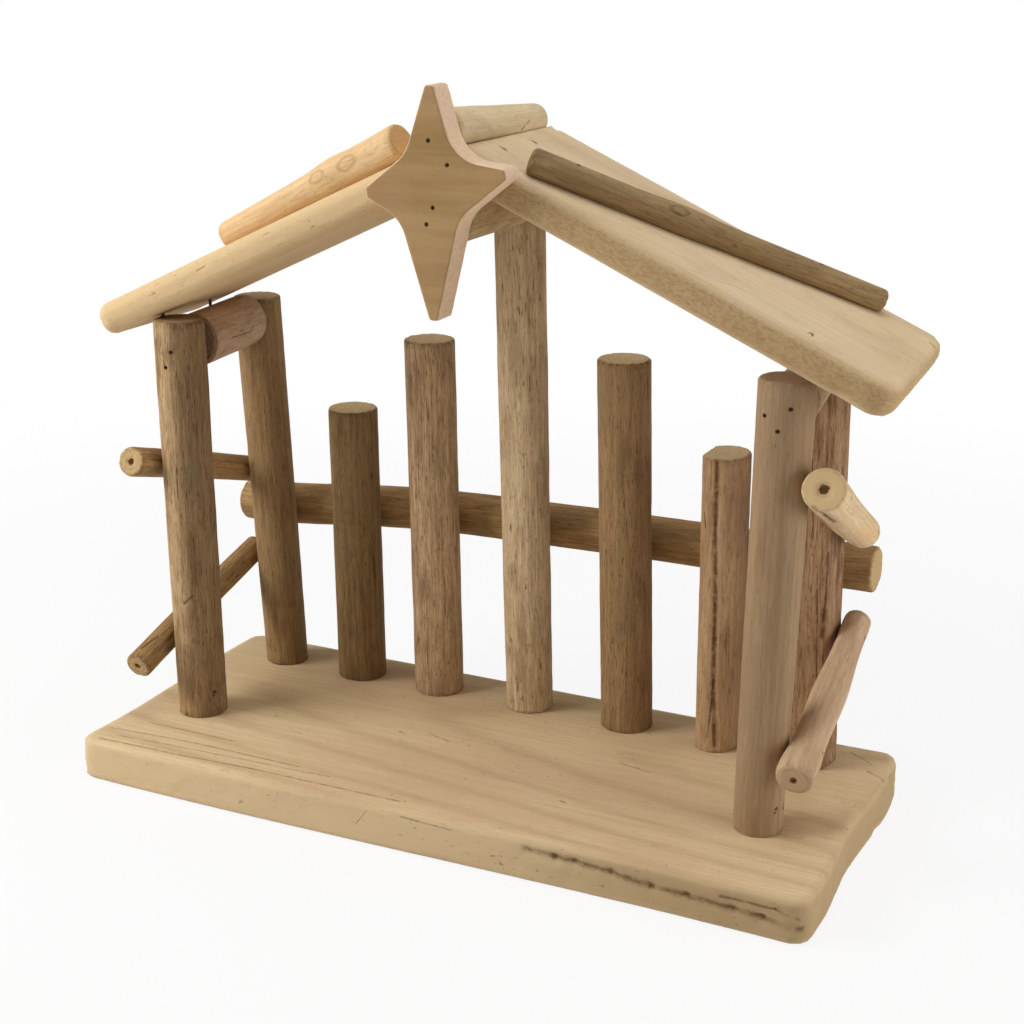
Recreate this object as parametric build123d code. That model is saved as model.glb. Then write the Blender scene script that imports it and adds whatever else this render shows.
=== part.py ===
from build123d import *
import os
from math import cos, exp, pi, radians, sin, tan

os.makedirs("parts", exist_ok=True)

# A rustic wooden stable for crib figures: peeled sticks and two thick roof boards on a slab.
# Frame: origin on the slab's underside, below the middle of the roof, X to the right, Y to the rear, Z up.

# Base board: how far it reaches from the origin (millimetres everywhere, angles in degrees)
base_left = 142.8
base_right = 140.3
base_front = 59.6
base_rear = 59.4
base_thickness = 16.0
base_corner_radius = 6.5
base_top_arris = 3.2
base_bottom_arris = 2.4
base_side_wave = 1.2
base_front_wave = 0.8

# Rows in which the uprights stand
front_row_y = -17.0
rear_row_y = 40.2

# Front posts: foot and top across the base, top height, thickness at the foot and at the top
front_left_foot_x = -115.1
front_left_top_x = -114.7
front_left_top_z = 170.4
front_left_foot_d = 19.0
front_left_top_d = 19.3
front_right_foot_x = 110.3
front_right_top_x = 114.3
front_right_top_z = 171.4
front_right_foot_d = 16.8
front_right_top_d = 18.6

# Rear corner posts: the roof sets their height, the right one is a sawn stake
rear_left_foot_x = -113.3
rear_left_top_x = -119.4
rear_left_foot_d = 17.4
rear_left_top_d = 18.6
stake_x = 110.4
stake_top_x = 108.4
stake_width = 17.6
stake_depth = 14.0
stake_turn = 12.0
stake_corner_radius = 2.0

# Fence pickets and the centre post of the rear row
left_short_foot_x = -77.0
left_short_top_x = -77.3
left_short_top_z = 127.8
left_short_d = 19.6
left_tall_foot_x = -41.4
left_tall_top_x = -42.7
left_tall_top_z = 158.1
left_tall_d = 19.6
centre_foot_x = -1.6
centre_top_x = -4.8
centre_foot_d = 18.4
centre_top_d = 19.0
right_tall_foot_x = 39.3
right_tall_top_x = 36.3
right_tall_top_z = 158.0
right_tall_d = 19.8
right_short_foot_x = 75.9
right_short_top_x = 76.2
right_short_top_z = 128.1
right_short_foot_d = 16.6
right_short_top_d = 17.6
right_short_flatness = 1.16
right_short_forward = 1.2
split_face_depth = 1.6

# Rails and braces: height where they cross the front and the rear posts, thickness at the front
# and at the rear end, length past each post, and how far the stick bows in the middle
left_rail_front_z = 113.8
left_rail_rear_z = 96.4
left_rail_front_d = 11.6
left_rail_rear_d = 10.8
left_rail_front_reach = 15.5
left_rail_rear_reach = 6.5
left_rail_bow = 0.3
left_brace_front_z = 44.2
left_brace_rear_z = 60.8
left_brace_front_d = 10.8
left_brace_rear_d = 10.2
left_brace_front_reach = 20.5
left_brace_rear_reach = 4.5
left_brace_bow = 0.4
right_rail_front_z = 135.0
right_rail_rear_z = 106.0
right_rail_front_d = 14.4
right_rail_rear_d = 12.4
right_rail_front_reach = 10.0
right_rail_rear_reach = 5.0
right_rail_bow = -0.8
right_brace_front_z = 47.0
right_brace_rear_z = 66.2
right_brace_front_d = 12.6
right_brace_rear_d = 9.2
right_brace_front_reach = 14.5
right_brace_rear_reach = 10.6
right_brace_bow = -1.2
right_brace_knot = 1.8
right_brace_knot_at = 0.56
knot_length = 9.0
pith_hole_d = 1.9
pith_hole_depth = 2.4

# Rear rail: a gently bowed stick behind the rear row
rear_rail_d = 17.4
rear_rail_left_z = 78.6
rear_rail_mid_z = 85.2
rear_rail_right_z = 85.9
rear_rail_left_reach = 23.5
rear_rail_right_reach = 18.0

# Wall plates between the front and the rear posts, and how far below the front post's top they lie
left_plate_d = 20.0
left_plate_drop = 0.0
right_plate_d = 17.0
right_plate_drop = 1.5

# Roof
roof_slope = 24.4
roof_front_y = -26.0
left_board_length = 160.0
right_board_trim = 2.5
left_board_thickness = 12.0
left_board_rear_y = 34.5
left_board_skew = 1.0
left_board_front_corner = 7.0
left_board_rear_corner = 7.0
right_board_length = left_board_length - right_board_trim
right_board_thickness = 12.0
right_board_rear_y = 48.5
right_board_skew = -3.2
right_board_front_corner = 8.5
right_board_rear_corner = 6.0
board_gap = 0.2
board_rounding = 0.42
ridge_beam_d = 21.0
ridge_beam_rear_y = 49.5
ridge_stick_front_d = 13.6
ridge_stick_rear_d = 11.2
ridge_stick_rear_y = 42.0

# Roof sticks: distance down the slope and depth of both ends, thickness at both ends and at the knot
left_stick_top_run = 14.5
left_stick_top_y = -16.5
left_stick_low_run = 105.3
left_stick_low_y = -1.5
left_stick_top_d = 12.9
left_stick_low_d = 10.4
left_stick_knot_d = 13.6
left_stick_knot_at = 0.35
right_stick_top_run = 20.5
right_stick_top_y = -16.5
right_stick_low_run = 134.0
right_stick_low_y = 38.8
right_stick_top_d = 9.4
right_stick_low_d = 8.0
right_stick_knot_d = 10.0
right_stick_knot_at = 0.42

# Star: reach of the four points from its middle, and of the hollows between them
star_thickness = 10.0
star_up = 31.0
star_down = 43.8
star_left = 24.0
star_right = 26.6
star_left_drop = 3.6
star_right_rise = 4.4
star_upper_left_hollow = 13.2
star_upper_right_hollow = 12.0
star_lower_left_hollow = 16.6
star_lower_right_hollow = 14.4
star_hollow_radius = 13.0
star_tip_width = 3.4
star_tip_rounding = 0.4
star_over_peak = -0.6
star_pin_side = 0.6
star_pin_right = 6.0
star_pin_drop = 2.8
star_pin_lift = 2.6
star_pin_spread = 2.7

# Fasteners
brad_d = 1.2
brad_length = 22.0
brad_sink = 1.0
short_grip = 5.5
long_grip = 11.0
toe_pin_height = 10.0
toe_pin_length = 16.0
toe_pin_lean = 30.0
toe_pin_swing = 35.0

# Brads of the front posts: turn around the post from its front, and drop below the post's top
front_left_pins = ((13.0, 10.7), (-2.0, 16.5))
front_right_pins = ((-28.0, 11.1), (24.0, 8.2), (2.5, 15.4))
front_left_toe_turns = (66.0,)
front_right_toe_turns = (59.0, 92.0)
rear_pin_spread = 4.0
roof_pin_share = 0.72

# Screws from below
screw_head_d = 7.0
screw_shank_d = 3.4
screw_in_upright = 18.0
screw_sink = 0.6
screw_slot = 0.9
hole_clearance = 0.04

# How deep a round stick beds into what it is pinned to, and how worn the cut ends are
bedding = 0.5
roof_bedding = 0.2
seat_clearance = 0.06
stick_flatness = 0.97
end_wear = 0.07
knot_section_count = 15
bow_section_count = 7

slope = radians(roof_slope)
base_top = base_thickness


def between(start, end, share):
    return start + (end - start) * share


def swelling(height, from_knot):
    """Extra thickness of a stick at a distance along it from a knot."""
    return height * exp(-(from_knot / knot_length) ** 2)


def spread(count):
    """Evenly spaced shares from 0 to 1."""
    return [i / (count - 1) for i in range(count)]


def wear_rims(body, ends, diameter):
    """Rounds the rim of each end face that holds one of the given points."""
    for end in ends:
        rim = body.faces().sort_by_distance(end)[0].edges()
        body = fillet(rim, end_wear * diameter)
    return body


def stick(points, diameters, across, facing=None, flatness=None, worn=(0, -1)):
    """A peeled stick: oval sections along a centre line under one smooth skin, with worn end rims.

    across is the direction of the full thickness; the sections are square to the line, or to facing.
    worn picks which of the two end faces, in the order of the points, get a worn rim.
    """
    spots = [Vector(*point) for point in points]
    sections = []
    for i, spot in enumerate(spots):
        heading = facing or spots[min(i + 1, len(spots) - 1)] - spots[max(i - 1, 0)]
        radius = diameters[i] / 2
        oval = Ellipse(radius, radius * (flatness or stick_flatness))
        sections.append(Plane(spot, x_dir=across, z_dir=heading) * oval)
    return wear_rims(loft(sections), [spots[end] for end in worn], min(diameters))


class Upright:
    """A stick that stands on the base and may lean sideways."""

    def __init__(self, foot_x, top_x, y, top_z, foot_d, top_d, flatness=None):
        self.foot_x, self.top_x, self.y, self.top_z = foot_x, top_x, y, top_z
        self.foot_d, self.top_d = foot_d, top_d
        self.flatness = flatness or stick_flatness

    def share(self, z):
        return (z - base_top) / (self.top_z - base_top)

    def x(self, z):
        return between(self.foot_x, self.top_x, self.share(z))

    def half_width(self, z):
        return between(self.foot_d, self.top_d, self.share(z)) / 2

    def half_depth(self, z):
        return self.half_width(z) * self.flatness

    def solid(self):
        points = [(self.foot_x, self.y, base_top), (self.top_x, self.y, self.top_z)]
        diameters = [self.foot_d, self.top_d]
        return stick(points, diameters, (1, 0, 0), facing=(0, 0, 1), flatness=self.flatness, worn=(-1,))

    def seat_cutter(self, z):
        """A round cutter along the post, for the hollow in a stick that crosses it at a height."""
        lean = (self.top_x - self.foot_x, 0, self.top_z - base_top)
        cutter = Cylinder(self.half_width(z) + seat_clearance, self.top_z - base_top)
        return Plane((self.x(z), self.y, z), z_dir=lean) * cutter


class Stake(Upright):
    """The sawn rear right post: a square section with softened corners, turned a little."""

    def half_width(self, z):
        return stake_width / 2 * cos(radians(stake_turn)) + stake_depth / 2 * sin(radians(stake_turn))

    def half_depth(self, z):
        return stake_width / 2 * sin(radians(stake_turn)) + stake_depth / 2 * cos(radians(stake_turn))

    def solid(self):
        section = Rot(0, 0, -stake_turn) * RectangleRounded(stake_width, stake_depth, stake_corner_radius)
        foot = Pos(self.foot_x, self.y, base_top) * section
        top = Pos(self.top_x, self.y, self.top_z) * section
        return loft([foot, top], ruled=True)

    def seat_cutter(self, z):
        return self.solid()


# The roof planes: each board rests on the outer rim of its front post, and both meet over the ridge beam
left_rim_x = front_left_top_x - front_left_top_d / 2
right_rim_x = front_right_top_x + front_right_top_d / 2
left_rest_z = front_left_top_z - roof_bedding
right_rest_z = front_right_top_z - roof_bedding
peak_x = (left_rim_x + right_rim_x + (right_rest_z - left_rest_z) / tan(slope)) / 2
peak_z = left_rest_z + (peak_x - left_rim_x) * tan(slope)


def underside(x):
    """Height of the boards' underside over a place across the base."""
    return peak_z - abs(x - peak_x) * tan(slope)


def on_roof(side, run, y, lift):
    """The point at a distance down one slope, at a depth, and at a height square to the underside."""
    x = peak_x + side * (run * cos(slope) + lift * sin(slope))
    return (x, y, peak_z - run * sin(slope) + lift * cos(slope))


def up_from(side):
    return (side * sin(slope), 0, cos(slope))


# Uprights
rear_left_rim_x = rear_left_top_x - rear_left_top_d / 2
stake_rim_x = stake_top_x + stake_width / 2 * cos(radians(stake_turn))
ridge_beam_z = peak_z - ridge_beam_d / 2 / cos(slope) + bedding
uprights = {
    "front_left_post": Upright(
        front_left_foot_x, front_left_top_x, front_row_y, front_left_top_z,
        front_left_foot_d, front_left_top_d,
    ),
    "front_right_post": Upright(
        front_right_foot_x, front_right_top_x, front_row_y, front_right_top_z,
        front_right_foot_d, front_right_top_d,
    ),
    "rear_left_post": Upright(
        rear_left_foot_x, rear_left_top_x, rear_row_y, underside(rear_left_rim_x) + roof_bedding,
        rear_left_foot_d, rear_left_top_d,
    ),
    "left_short_picket": Upright(
        left_short_foot_x, left_short_top_x, rear_row_y, left_short_top_z, left_short_d, left_short_d
    ),
    "left_tall_picket": Upright(
        left_tall_foot_x, left_tall_top_x, rear_row_y, left_tall_top_z, left_tall_d, left_tall_d
    ),
    "centre_post": Upright(
        centre_foot_x, centre_top_x, rear_row_y, ridge_beam_z - ridge_beam_d / 2 + bedding,
        centre_foot_d, centre_top_d,
    ),
    "right_tall_picket": Upright(
        right_tall_foot_x, right_tall_top_x, rear_row_y, right_tall_top_z, right_tall_d, right_tall_d
    ),
    "right_short_picket": Upright(
        right_short_foot_x, right_short_top_x, rear_row_y - right_short_forward, right_short_top_z,
        right_short_foot_d, right_short_top_d, right_short_flatness,
    ),
    "rear_right_post": Stake(
        stake_x, stake_top_x, rear_row_y, underside(stake_rim_x) + roof_bedding, stake_width, stake_width
    ),
}
rear_row = [
    "rear_left_post", "left_short_picket", "left_tall_picket", "centre_post",
    "right_tall_picket", "right_short_picket", "rear_right_post",
]
pieces = {name: upright.solid() for name, upright in uprights.items()}


def base_board():
    """A sawn slab with wavering edges, round corners and worn arrises."""
    swing, bow = base_side_wave, base_front_wave
    left, right, front, rear = -base_left, base_right, -base_front, base_rear
    rear_left, front_left = (left + swing, rear), (left - swing, front)
    front_right, rear_right = (right, front), (right - swing, rear)
    left_edge = Spline(rear_left, (left, rear / 2), (left + swing / 2, 0), front_left)
    front_edge = Spline(front_left, (left / 3, front - bow), (right / 3, front + bow), front_right)
    right_edge = Spline(
        front_right, (right + swing / 2, front / 2), (right - swing / 2, front / 5),
        (right + swing, rear / 2), rear_right,
    )
    rear_edge = Line(rear_right, rear_left)
    outline = make_face([left_edge, front_edge, right_edge, rear_edge])
    outline = fillet(outline.vertices(), base_corner_radius)
    slab = extrude(outline, amount=base_thickness)
    slab = fillet(slab.faces().sort_by(Axis.Z)[-1].edges(), base_top_arris)
    return fillet(slab.faces().sort_by(Axis.Z)[0].edges(), base_bottom_arris)


pieces["base_board"] = base_board()

# The split picket has one riven flat on its left
split_flat_x = right_short_foot_x - right_short_foot_d / 2 + split_face_depth
split_waste = Box(2 * base_rear, base_rear, 2 * right_short_top_z)
split_waste = Pos(split_flat_x - base_rear, rear_row_y, right_short_top_z / 2) * split_waste
pieces["right_short_picket"] -= split_waste


# Roof boards, ridge beam and ridge stick
def roof_board(side, length, thickness, rear_y, skew, front_corner, rear_corner):
    """A worn board from the peak to the eave: square at the peak, skewed and rounded at the eave."""
    outline = Polyline(
        (board_gap, roof_front_y), (length - skew, roof_front_y), (length, rear_y), (board_gap, rear_y),
        close=True,
    )
    face = make_face(outline)
    eave_front, eave_rear = face.vertices().sort_by(Axis.X)[-2:].sort_by(Axis.Y)
    face = fillet(eave_front, front_corner)
    eave_rear = face.vertices().sort_by_distance((length, rear_y))[0]
    face = fillet(eave_rear, rear_corner)
    board = extrude(face, amount=thickness)
    flat_faces = board.faces().filter_by(Axis.Z)
    arrises = flat_faces.edges().filter_by(lambda edge: edge.center().X > board_gap + rear_corner)
    board = fillet(arrises, board_rounding * thickness)
    board = Plane((peak_x, 0, peak_z), x_dir=(cos(slope), 0, -sin(slope)), z_dir=up_from(1)) * board
    if side < 0:
        board = mirror(board, about=Plane((peak_x, 0, 0), z_dir=(1, 0, 0)))
    return board


left_board = roof_board(
    -1, left_board_length, left_board_thickness, left_board_rear_y,
    left_board_skew, left_board_front_corner, left_board_rear_corner,
)
right_board = roof_board(
    1, right_board_length, right_board_thickness, right_board_rear_y,
    right_board_skew, right_board_front_corner, right_board_rear_corner,
)
pieces["left_roof_board"] = left_board
pieces["right_roof_board"] = right_board

ridge_beam_points = [(peak_x, roof_front_y, ridge_beam_z), (peak_x, ridge_beam_rear_y, ridge_beam_z)]
ridge_beam = stick(ridge_beam_points, [ridge_beam_d, ridge_beam_d], (0, 0, 1))
pieces["ridge_beam"] = ridge_beam - left_board - right_board


def in_ridge_groove(diameter):
    """Height of a stick's middle where it lies in the groove between the boards' square ends."""
    return peak_z + diameter / 2 / sin(slope) - bedding


ridge_stick_points = [
    (peak_x, roof_front_y, in_ridge_groove(ridge_stick_front_d)),
    (peak_x, ridge_stick_rear_y, in_ridge_groove(ridge_stick_rear_d)),
]
ridge_stick_sizes = [ridge_stick_front_d, ridge_stick_rear_d]
ridge_stick = stick(ridge_stick_points, ridge_stick_sizes, (0, 0, 1), facing=(0, 1, 0))
pieces["ridge_stick"] = ridge_stick - left_board - right_board


def roof_stick(side, top, low, board_thickness, knot_at, knot_d):
    """A stick along one slope: top and low give run, depth and thickness, and the knot is a swelling."""
    points, diameters = [], []
    for share in spread(knot_section_count):
        diameter = between(top[2], low[2], share)
        lift = board_thickness + diameter / 2 - bedding
        knot_height = knot_d - between(top[2], low[2], knot_at)
        points.append(on_roof(side, between(top[0], low[0], share), between(top[1], low[1], share), lift))
        diameters.append(diameter + swelling(knot_height, (share - knot_at) * (low[0] - top[0])))
    return stick(points, diameters, up_from(side))


left_roof_stick = roof_stick(
    -1,
    (left_stick_top_run, left_stick_top_y, left_stick_top_d),
    (left_stick_low_run, left_stick_low_y, left_stick_low_d),
    left_board_thickness, left_stick_knot_at, left_stick_knot_d,
)
right_roof_stick = roof_stick(
    1,
    (right_stick_top_run, right_stick_top_y, right_stick_top_d),
    (right_stick_low_run, right_stick_low_y, right_stick_low_d),
    right_board_thickness, right_stick_knot_at, right_stick_knot_d,
)
pieces["left_roof_stick"] = left_roof_stick - left_board
pieces["right_roof_stick"] = right_roof_stick - right_board

# The roof beds on the corner posts, and the ridge beam on the centre post
for name in ("front_left_post", "rear_left_post"):
    pieces[name] -= left_board
for name in ("front_right_post", "rear_right_post"):
    pieces[name] -= right_board
pieces["centre_post"] -= ridge_beam


# Wall plates: butted between the posts, level with the front post's top
def wall_plate(front_name, rear_name, diameter, z):
    front, rear = uprights[front_name], uprights[rear_name]
    front_y = front.y + front.half_depth(z) - bedding
    rear_y = rear.y - rear.half_depth(z) + bedding
    points = [(front.x(z), front_y, z), (rear.x(z), rear_y, z)]
    plate = stick(points, [diameter, diameter], (0, 0, 1), facing=(0, 1, 0), worn=())
    return plate - pieces[front_name] - pieces[rear_name]


left_plate_z = front_left_top_z - left_plate_d / 2 - left_plate_drop
right_plate_z = front_right_top_z - right_plate_d / 2 - right_plate_drop
pieces["left_wall_plate"] = wall_plate("front_left_post", "rear_left_post", left_plate_d, left_plate_z)
pieces["right_wall_plate"] = wall_plate("front_right_post", "rear_right_post", right_plate_d, right_plate_z)


# Rails and braces on the outside of the corner posts
def side_crossing(side, post_name, z, diameter):
    """Centre of a side stick where it is pinned across the outside of a post."""
    post = uprights[post_name]
    return Vector(post.x(z) + side * (post.half_width(z) + diameter / 2 - bedding), post.y, z)


def side_stick(side, front_z, rear_z, front_d, rear_d, front_reach, rear_reach, bow, knot=0, knot_at=0):
    front_name, rear_name = side_posts[side]
    front = side_crossing(side, front_name, front_z, front_d)
    rear = side_crossing(side, rear_name, rear_z, rear_d)
    along = (rear - front).normalized()
    start, end = front - along * front_reach, rear + along * rear_reach
    points, diameters = [], []
    for share in spread(bow_section_count):
        points.append(between(start, end, share) + Vector(0, 0, bow * sin(share * pi)))
        from_knot = (share - knot_at) * (end - start).length
        diameters.append(between(front_d, rear_d, share) + swelling(knot, from_knot))
    body = stick(points, diameters, (1, 0, 0), worn=())
    body -= uprights[front_name].seat_cutter(front_z)
    body -= uprights[rear_name].seat_cutter(rear_z)
    body = wear_rims(body, (start, end), min(diameters))
    pith = Plane(start, z_dir=along) * Cylinder(pith_hole_d / 2, 2 * pith_hole_depth)
    return body - pith


side_posts = {-1: ("front_left_post", "rear_left_post"), 1: ("front_right_post", "rear_right_post")}
pieces["left_side_rail"] = side_stick(
    -1, left_rail_front_z, left_rail_rear_z, left_rail_front_d, left_rail_rear_d,
    left_rail_front_reach, left_rail_rear_reach, left_rail_bow,
)
pieces["left_brace"] = side_stick(
    -1, left_brace_front_z, left_brace_rear_z, left_brace_front_d, left_brace_rear_d,
    left_brace_front_reach, left_brace_rear_reach, left_brace_bow,
)
pieces["right_side_rail"] = side_stick(
    1, right_rail_front_z, right_rail_rear_z, right_rail_front_d, right_rail_rear_d,
    right_rail_front_reach, right_rail_rear_reach, right_rail_bow,
)
pieces["right_brace"] = side_stick(
    1, right_brace_front_z, right_brace_rear_z, right_brace_front_d, right_brace_rear_d,
    right_brace_front_reach, right_brace_rear_reach, right_brace_bow, right_brace_knot, right_brace_knot_at,
)


# Rear rail: bowed from upright to upright, bedded on each
def rear_rail_z(x):
    """The rail climbs on the left half and runs almost level on the right half."""
    left_x, right_x = uprights[rear_row[0]].foot_x, uprights[rear_row[-1]].foot_x
    if x < 0:
        share = (x / left_x) ** 2
        return between(rear_rail_mid_z, rear_rail_left_z, share)
    return between(rear_rail_mid_z, rear_rail_right_z, x / right_x)


def rear_crossing(name):
    upright = uprights[name]
    z = rear_rail_z(upright.foot_x)
    return Vector(upright.x(z), upright.y + upright.half_depth(z) + rear_rail_d / 2 - bedding, z)


crossings = [rear_crossing(name) for name in rear_row]
rail_start = crossings[0] - Vector(rear_rail_left_reach, 0, 1)
rail_end = crossings[-1] + Vector(rear_rail_right_reach, 0, 0)
rail_points = [rail_start] + crossings + [rail_end]
rear_rail = stick(rail_points, [rear_rail_d] * len(rail_points), (0, 1, 0))
for name in rear_row:
    rear_rail -= pieces[name]
pieces["rear_rail"] = rear_rail


# Star: a flat four-pointed star with hollow sides and blunt tips, in front of the peak
def star():
    tips = [
        Vector(-star_left, -star_left_drop),
        Vector(0, star_up),
        Vector(star_right, star_right_rise),
        Vector(0, -star_down),
    ]
    hollows = []
    for angle, reach in (
        (135, star_upper_left_hollow), (45, star_upper_right_hollow),
        (-45, star_lower_right_hollow), (-135, star_lower_left_hollow),
    ):
        hollows.append(Vector(reach * cos(radians(angle)), reach * sin(radians(angle))))
    corners = []
    for tip, hollow in zip(tips, hollows):
        half_tip = tip.normalized().rotate(Axis.Z, -90) * star_tip_width / 2
        corners += [tip - half_tip, tip + half_tip, hollow]
    outline = make_face(Polyline(*corners, close=True))
    inner = [outline.vertices().sort_by_distance(hollow)[0] for hollow in hollows]
    outline = fillet(inner, star_hollow_radius)
    tip_ends = [corner for corner in corners if corner not in hollows]
    tip_corners = [outline.vertices().sort_by_distance(corner)[0] for corner in tip_ends]
    outline = fillet(tip_corners, star_tip_rounding * star_tip_width)
    front = Plane((peak_x, roof_front_y, peak_z + star_over_peak), x_dir=(1, 0, 0), z_dir=(0, -1, 0))
    return extrude(front * outline, amount=star_thickness)


pieces["star"] = star()

# Fasteners
fasteners = {}


def rod(start, heading, radius, length):
    from_its_end = (Align.CENTER, Align.CENTER, Align.MIN)
    return Plane(start, z_dir=heading) * Cylinder(radius, length, align=from_its_end)


def drive_brad(group, start, heading, through, length=brad_length):
    """Drives a headless brad from a point on the surface, sunk a little, and drills its hole."""
    start, heading = Vector(*start), Vector(*heading).normalized()
    brad = rod(start + heading * brad_sink, heading, brad_d / 2, length)
    entry = 4 * brad_sink
    drill = rod(start - heading * entry, heading, (brad_d + hole_clearance) / 2, entry + brad_sink + length)
    fasteners.setdefault(group, []).append(brad)
    for name in through:
        pieces[name] -= drill


# Each upright is screwed from below through the base
def base_screw(upright):
    """A countersunk wood screw with a straight slot, its head just under the base."""
    head_r, shank_r = screw_head_d / 2, screw_shank_d / 2
    tip = base_top + screw_in_upright
    cone = head_r - shank_r
    outline = Polyline(
        (0, screw_sink), (head_r, screw_sink), (shank_r, screw_sink + cone),
        (shank_r, tip - 2 * shank_r), (0, tip), close=True,
    )
    body = revolve(Plane.XZ * make_face(outline), Axis.Z)
    slot = Pos(0, 0, screw_sink) * Box(screw_head_d, screw_slot, screw_slot * 2)
    hole_r = shank_r + hole_clearance / 2
    hole_head_r = head_r + hole_clearance / 2
    hole_outline = Polyline(
        (0, 0), (hole_head_r, 0), (hole_head_r, screw_sink), (hole_r, screw_sink + cone),
        (hole_r, tip - 2 * shank_r), (0, tip + hole_clearance), close=True,
    )
    hole = revolve(Plane.XZ * make_face(hole_outline), Axis.Z)
    place = Pos(upright.foot_x, upright.y, 0)
    return place * (body - slot), place * hole


fasteners["base_screws"] = []
for name, upright in uprights.items():
    screw, hole = base_screw(upright)
    fasteners["base_screws"].append(screw)
    pieces["base_board"] -= hole
    pieces[name] -= hole


def around(post, turn, z):
    """A point on a round post's skin: turn 0 is its front, 90 its right."""
    angle = radians(turn)
    return (post.x(z) + post.half_width(z) * sin(angle), post.y - post.half_depth(z) * cos(angle), z)


# Wall plates: brads from the front post straight back into the plate, two from the rear post forward
for plate, (front_name, rear_name), pins, plate_z in (
    ("left_wall_plate", side_posts[-1], front_left_pins, left_plate_z),
    ("right_wall_plate", side_posts[1], front_right_pins, right_plate_z),
):
    front, rear = uprights[front_name], uprights[rear_name]
    for turn, drop in pins:
        start = around(front, turn, front.top_z - drop)
        drive_brad("wall_plate_brads", start, (0, 1, 0), (front_name, plate))
    for sign in (-1, 1):
        z = plate_z + sign * rear_pin_spread
        start = (rear.x(z), rear.y + rear.half_depth(z), z)
        drive_brad("wall_plate_brads", start, (0, -1, 0), (rear_name, plate))

# Toe brads at the front posts' feet, driven down past the screw into the base
for post_name, turns in (
    ("front_left_post", front_left_toe_turns), ("front_right_post", front_right_toe_turns)
):
    for turn in turns:
        start = around(uprights[post_name], turn, base_top + toe_pin_height)
        level = sin(radians(toe_pin_lean))
        swing = radians(turn + toe_pin_swing)
        heading = (-level * sin(swing), level * cos(swing), -cos(radians(toe_pin_lean)))
        drive_brad("foot_brads", start, heading, (post_name, "base_board"), length=toe_pin_length)

# Rear rail to every upright of its row
for name, crossing in zip(rear_row, crossings):
    start = crossing + Vector(0, rear_rail_d / 2, 0)
    drive_brad("rear_rail_brads", start, (0, -1, 0), ("rear_rail", name), length=rear_rail_d + short_grip)

# Side rails and braces to the corner posts
for stick_name, side, front_z, rear_z, front_d, rear_d in (
    ("left_side_rail", -1, left_rail_front_z, left_rail_rear_z, left_rail_front_d, left_rail_rear_d),
    ("left_brace", -1, left_brace_front_z, left_brace_rear_z, left_brace_front_d, left_brace_rear_d),
    ("right_side_rail", 1, right_rail_front_z, right_rail_rear_z, right_rail_front_d, right_rail_rear_d),
    ("right_brace", 1, right_brace_front_z, right_brace_rear_z, right_brace_front_d, right_brace_rear_d),
):
    for post_name, z, diameter in zip(side_posts[side], (front_z, rear_z), (front_d, rear_d)):
        start = side_crossing(side, post_name, z, diameter) + Vector(side * diameter / 2, 0, 0)
        held = (stick_name, post_name)
        drive_brad("side_stick_brads", start, (-side, 0, 0), held, length=diameter + short_grip)

# Ridge beam down into the centre post, one brad in front of the other
for sign in (-1, 1):
    x = between(peak_x, uprights["centre_post"].top_x, 0.5)
    start = (x, rear_row_y + sign * rear_pin_spread, ridge_beam_z + ridge_beam_d / 2)
    held = ("ridge_beam", "centre_post")
    drive_brad("ridge_beam_brads", start, (0, 0, -1), held, length=ridge_beam_d + long_grip)

# Boards to the ridge beam and down into what carries them at the eaves
def over_post(post_name, side):
    """A pin's place over the outer part of a corner post."""
    post = uprights[post_name]
    return post.top_x + side * post.half_width(post.top_z) * roof_pin_share, post.y


def over_plate(side, diameter, z):
    """A pin's place where a wall plate lies nearest to the board above it, halfway along."""
    front, rear = (uprights[name] for name in side_posts[side])
    return between(front.x(z), rear.x(z), 0.5) + side * diameter / 2 * sin(slope), between(front.y, rear.y, 0.5)


left_carriers = {
    "front_left_post": over_post("front_left_post", -1),
    "left_wall_plate": over_plate(-1, left_plate_d, left_plate_z),
}
right_carriers = {name: over_post(name, 1) for name in side_posts[1]}
for board, side, thickness, carriers in (
    ("left_roof_board", -1, left_board_thickness, left_carriers),
    ("right_roof_board", 1, right_board_thickness, right_carriers),
):
    down = Vector(*up_from(side)) * -1
    for y in (between(front_row_y, rear_row_y, 0.2), between(front_row_y, rear_row_y, 0.6)):
        start = on_roof(side, ridge_beam_d / 3, y, thickness)
        drive_brad("roof_board_brads", start, down, (board, "ridge_beam"))
    for carrier, (x, y) in carriers.items():
        start = (x, y, underside(x) + thickness / cos(slope))
        drive_brad("roof_board_brads", start, (0, 0, -1), (board, carrier), length=thickness + long_grip)

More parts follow.
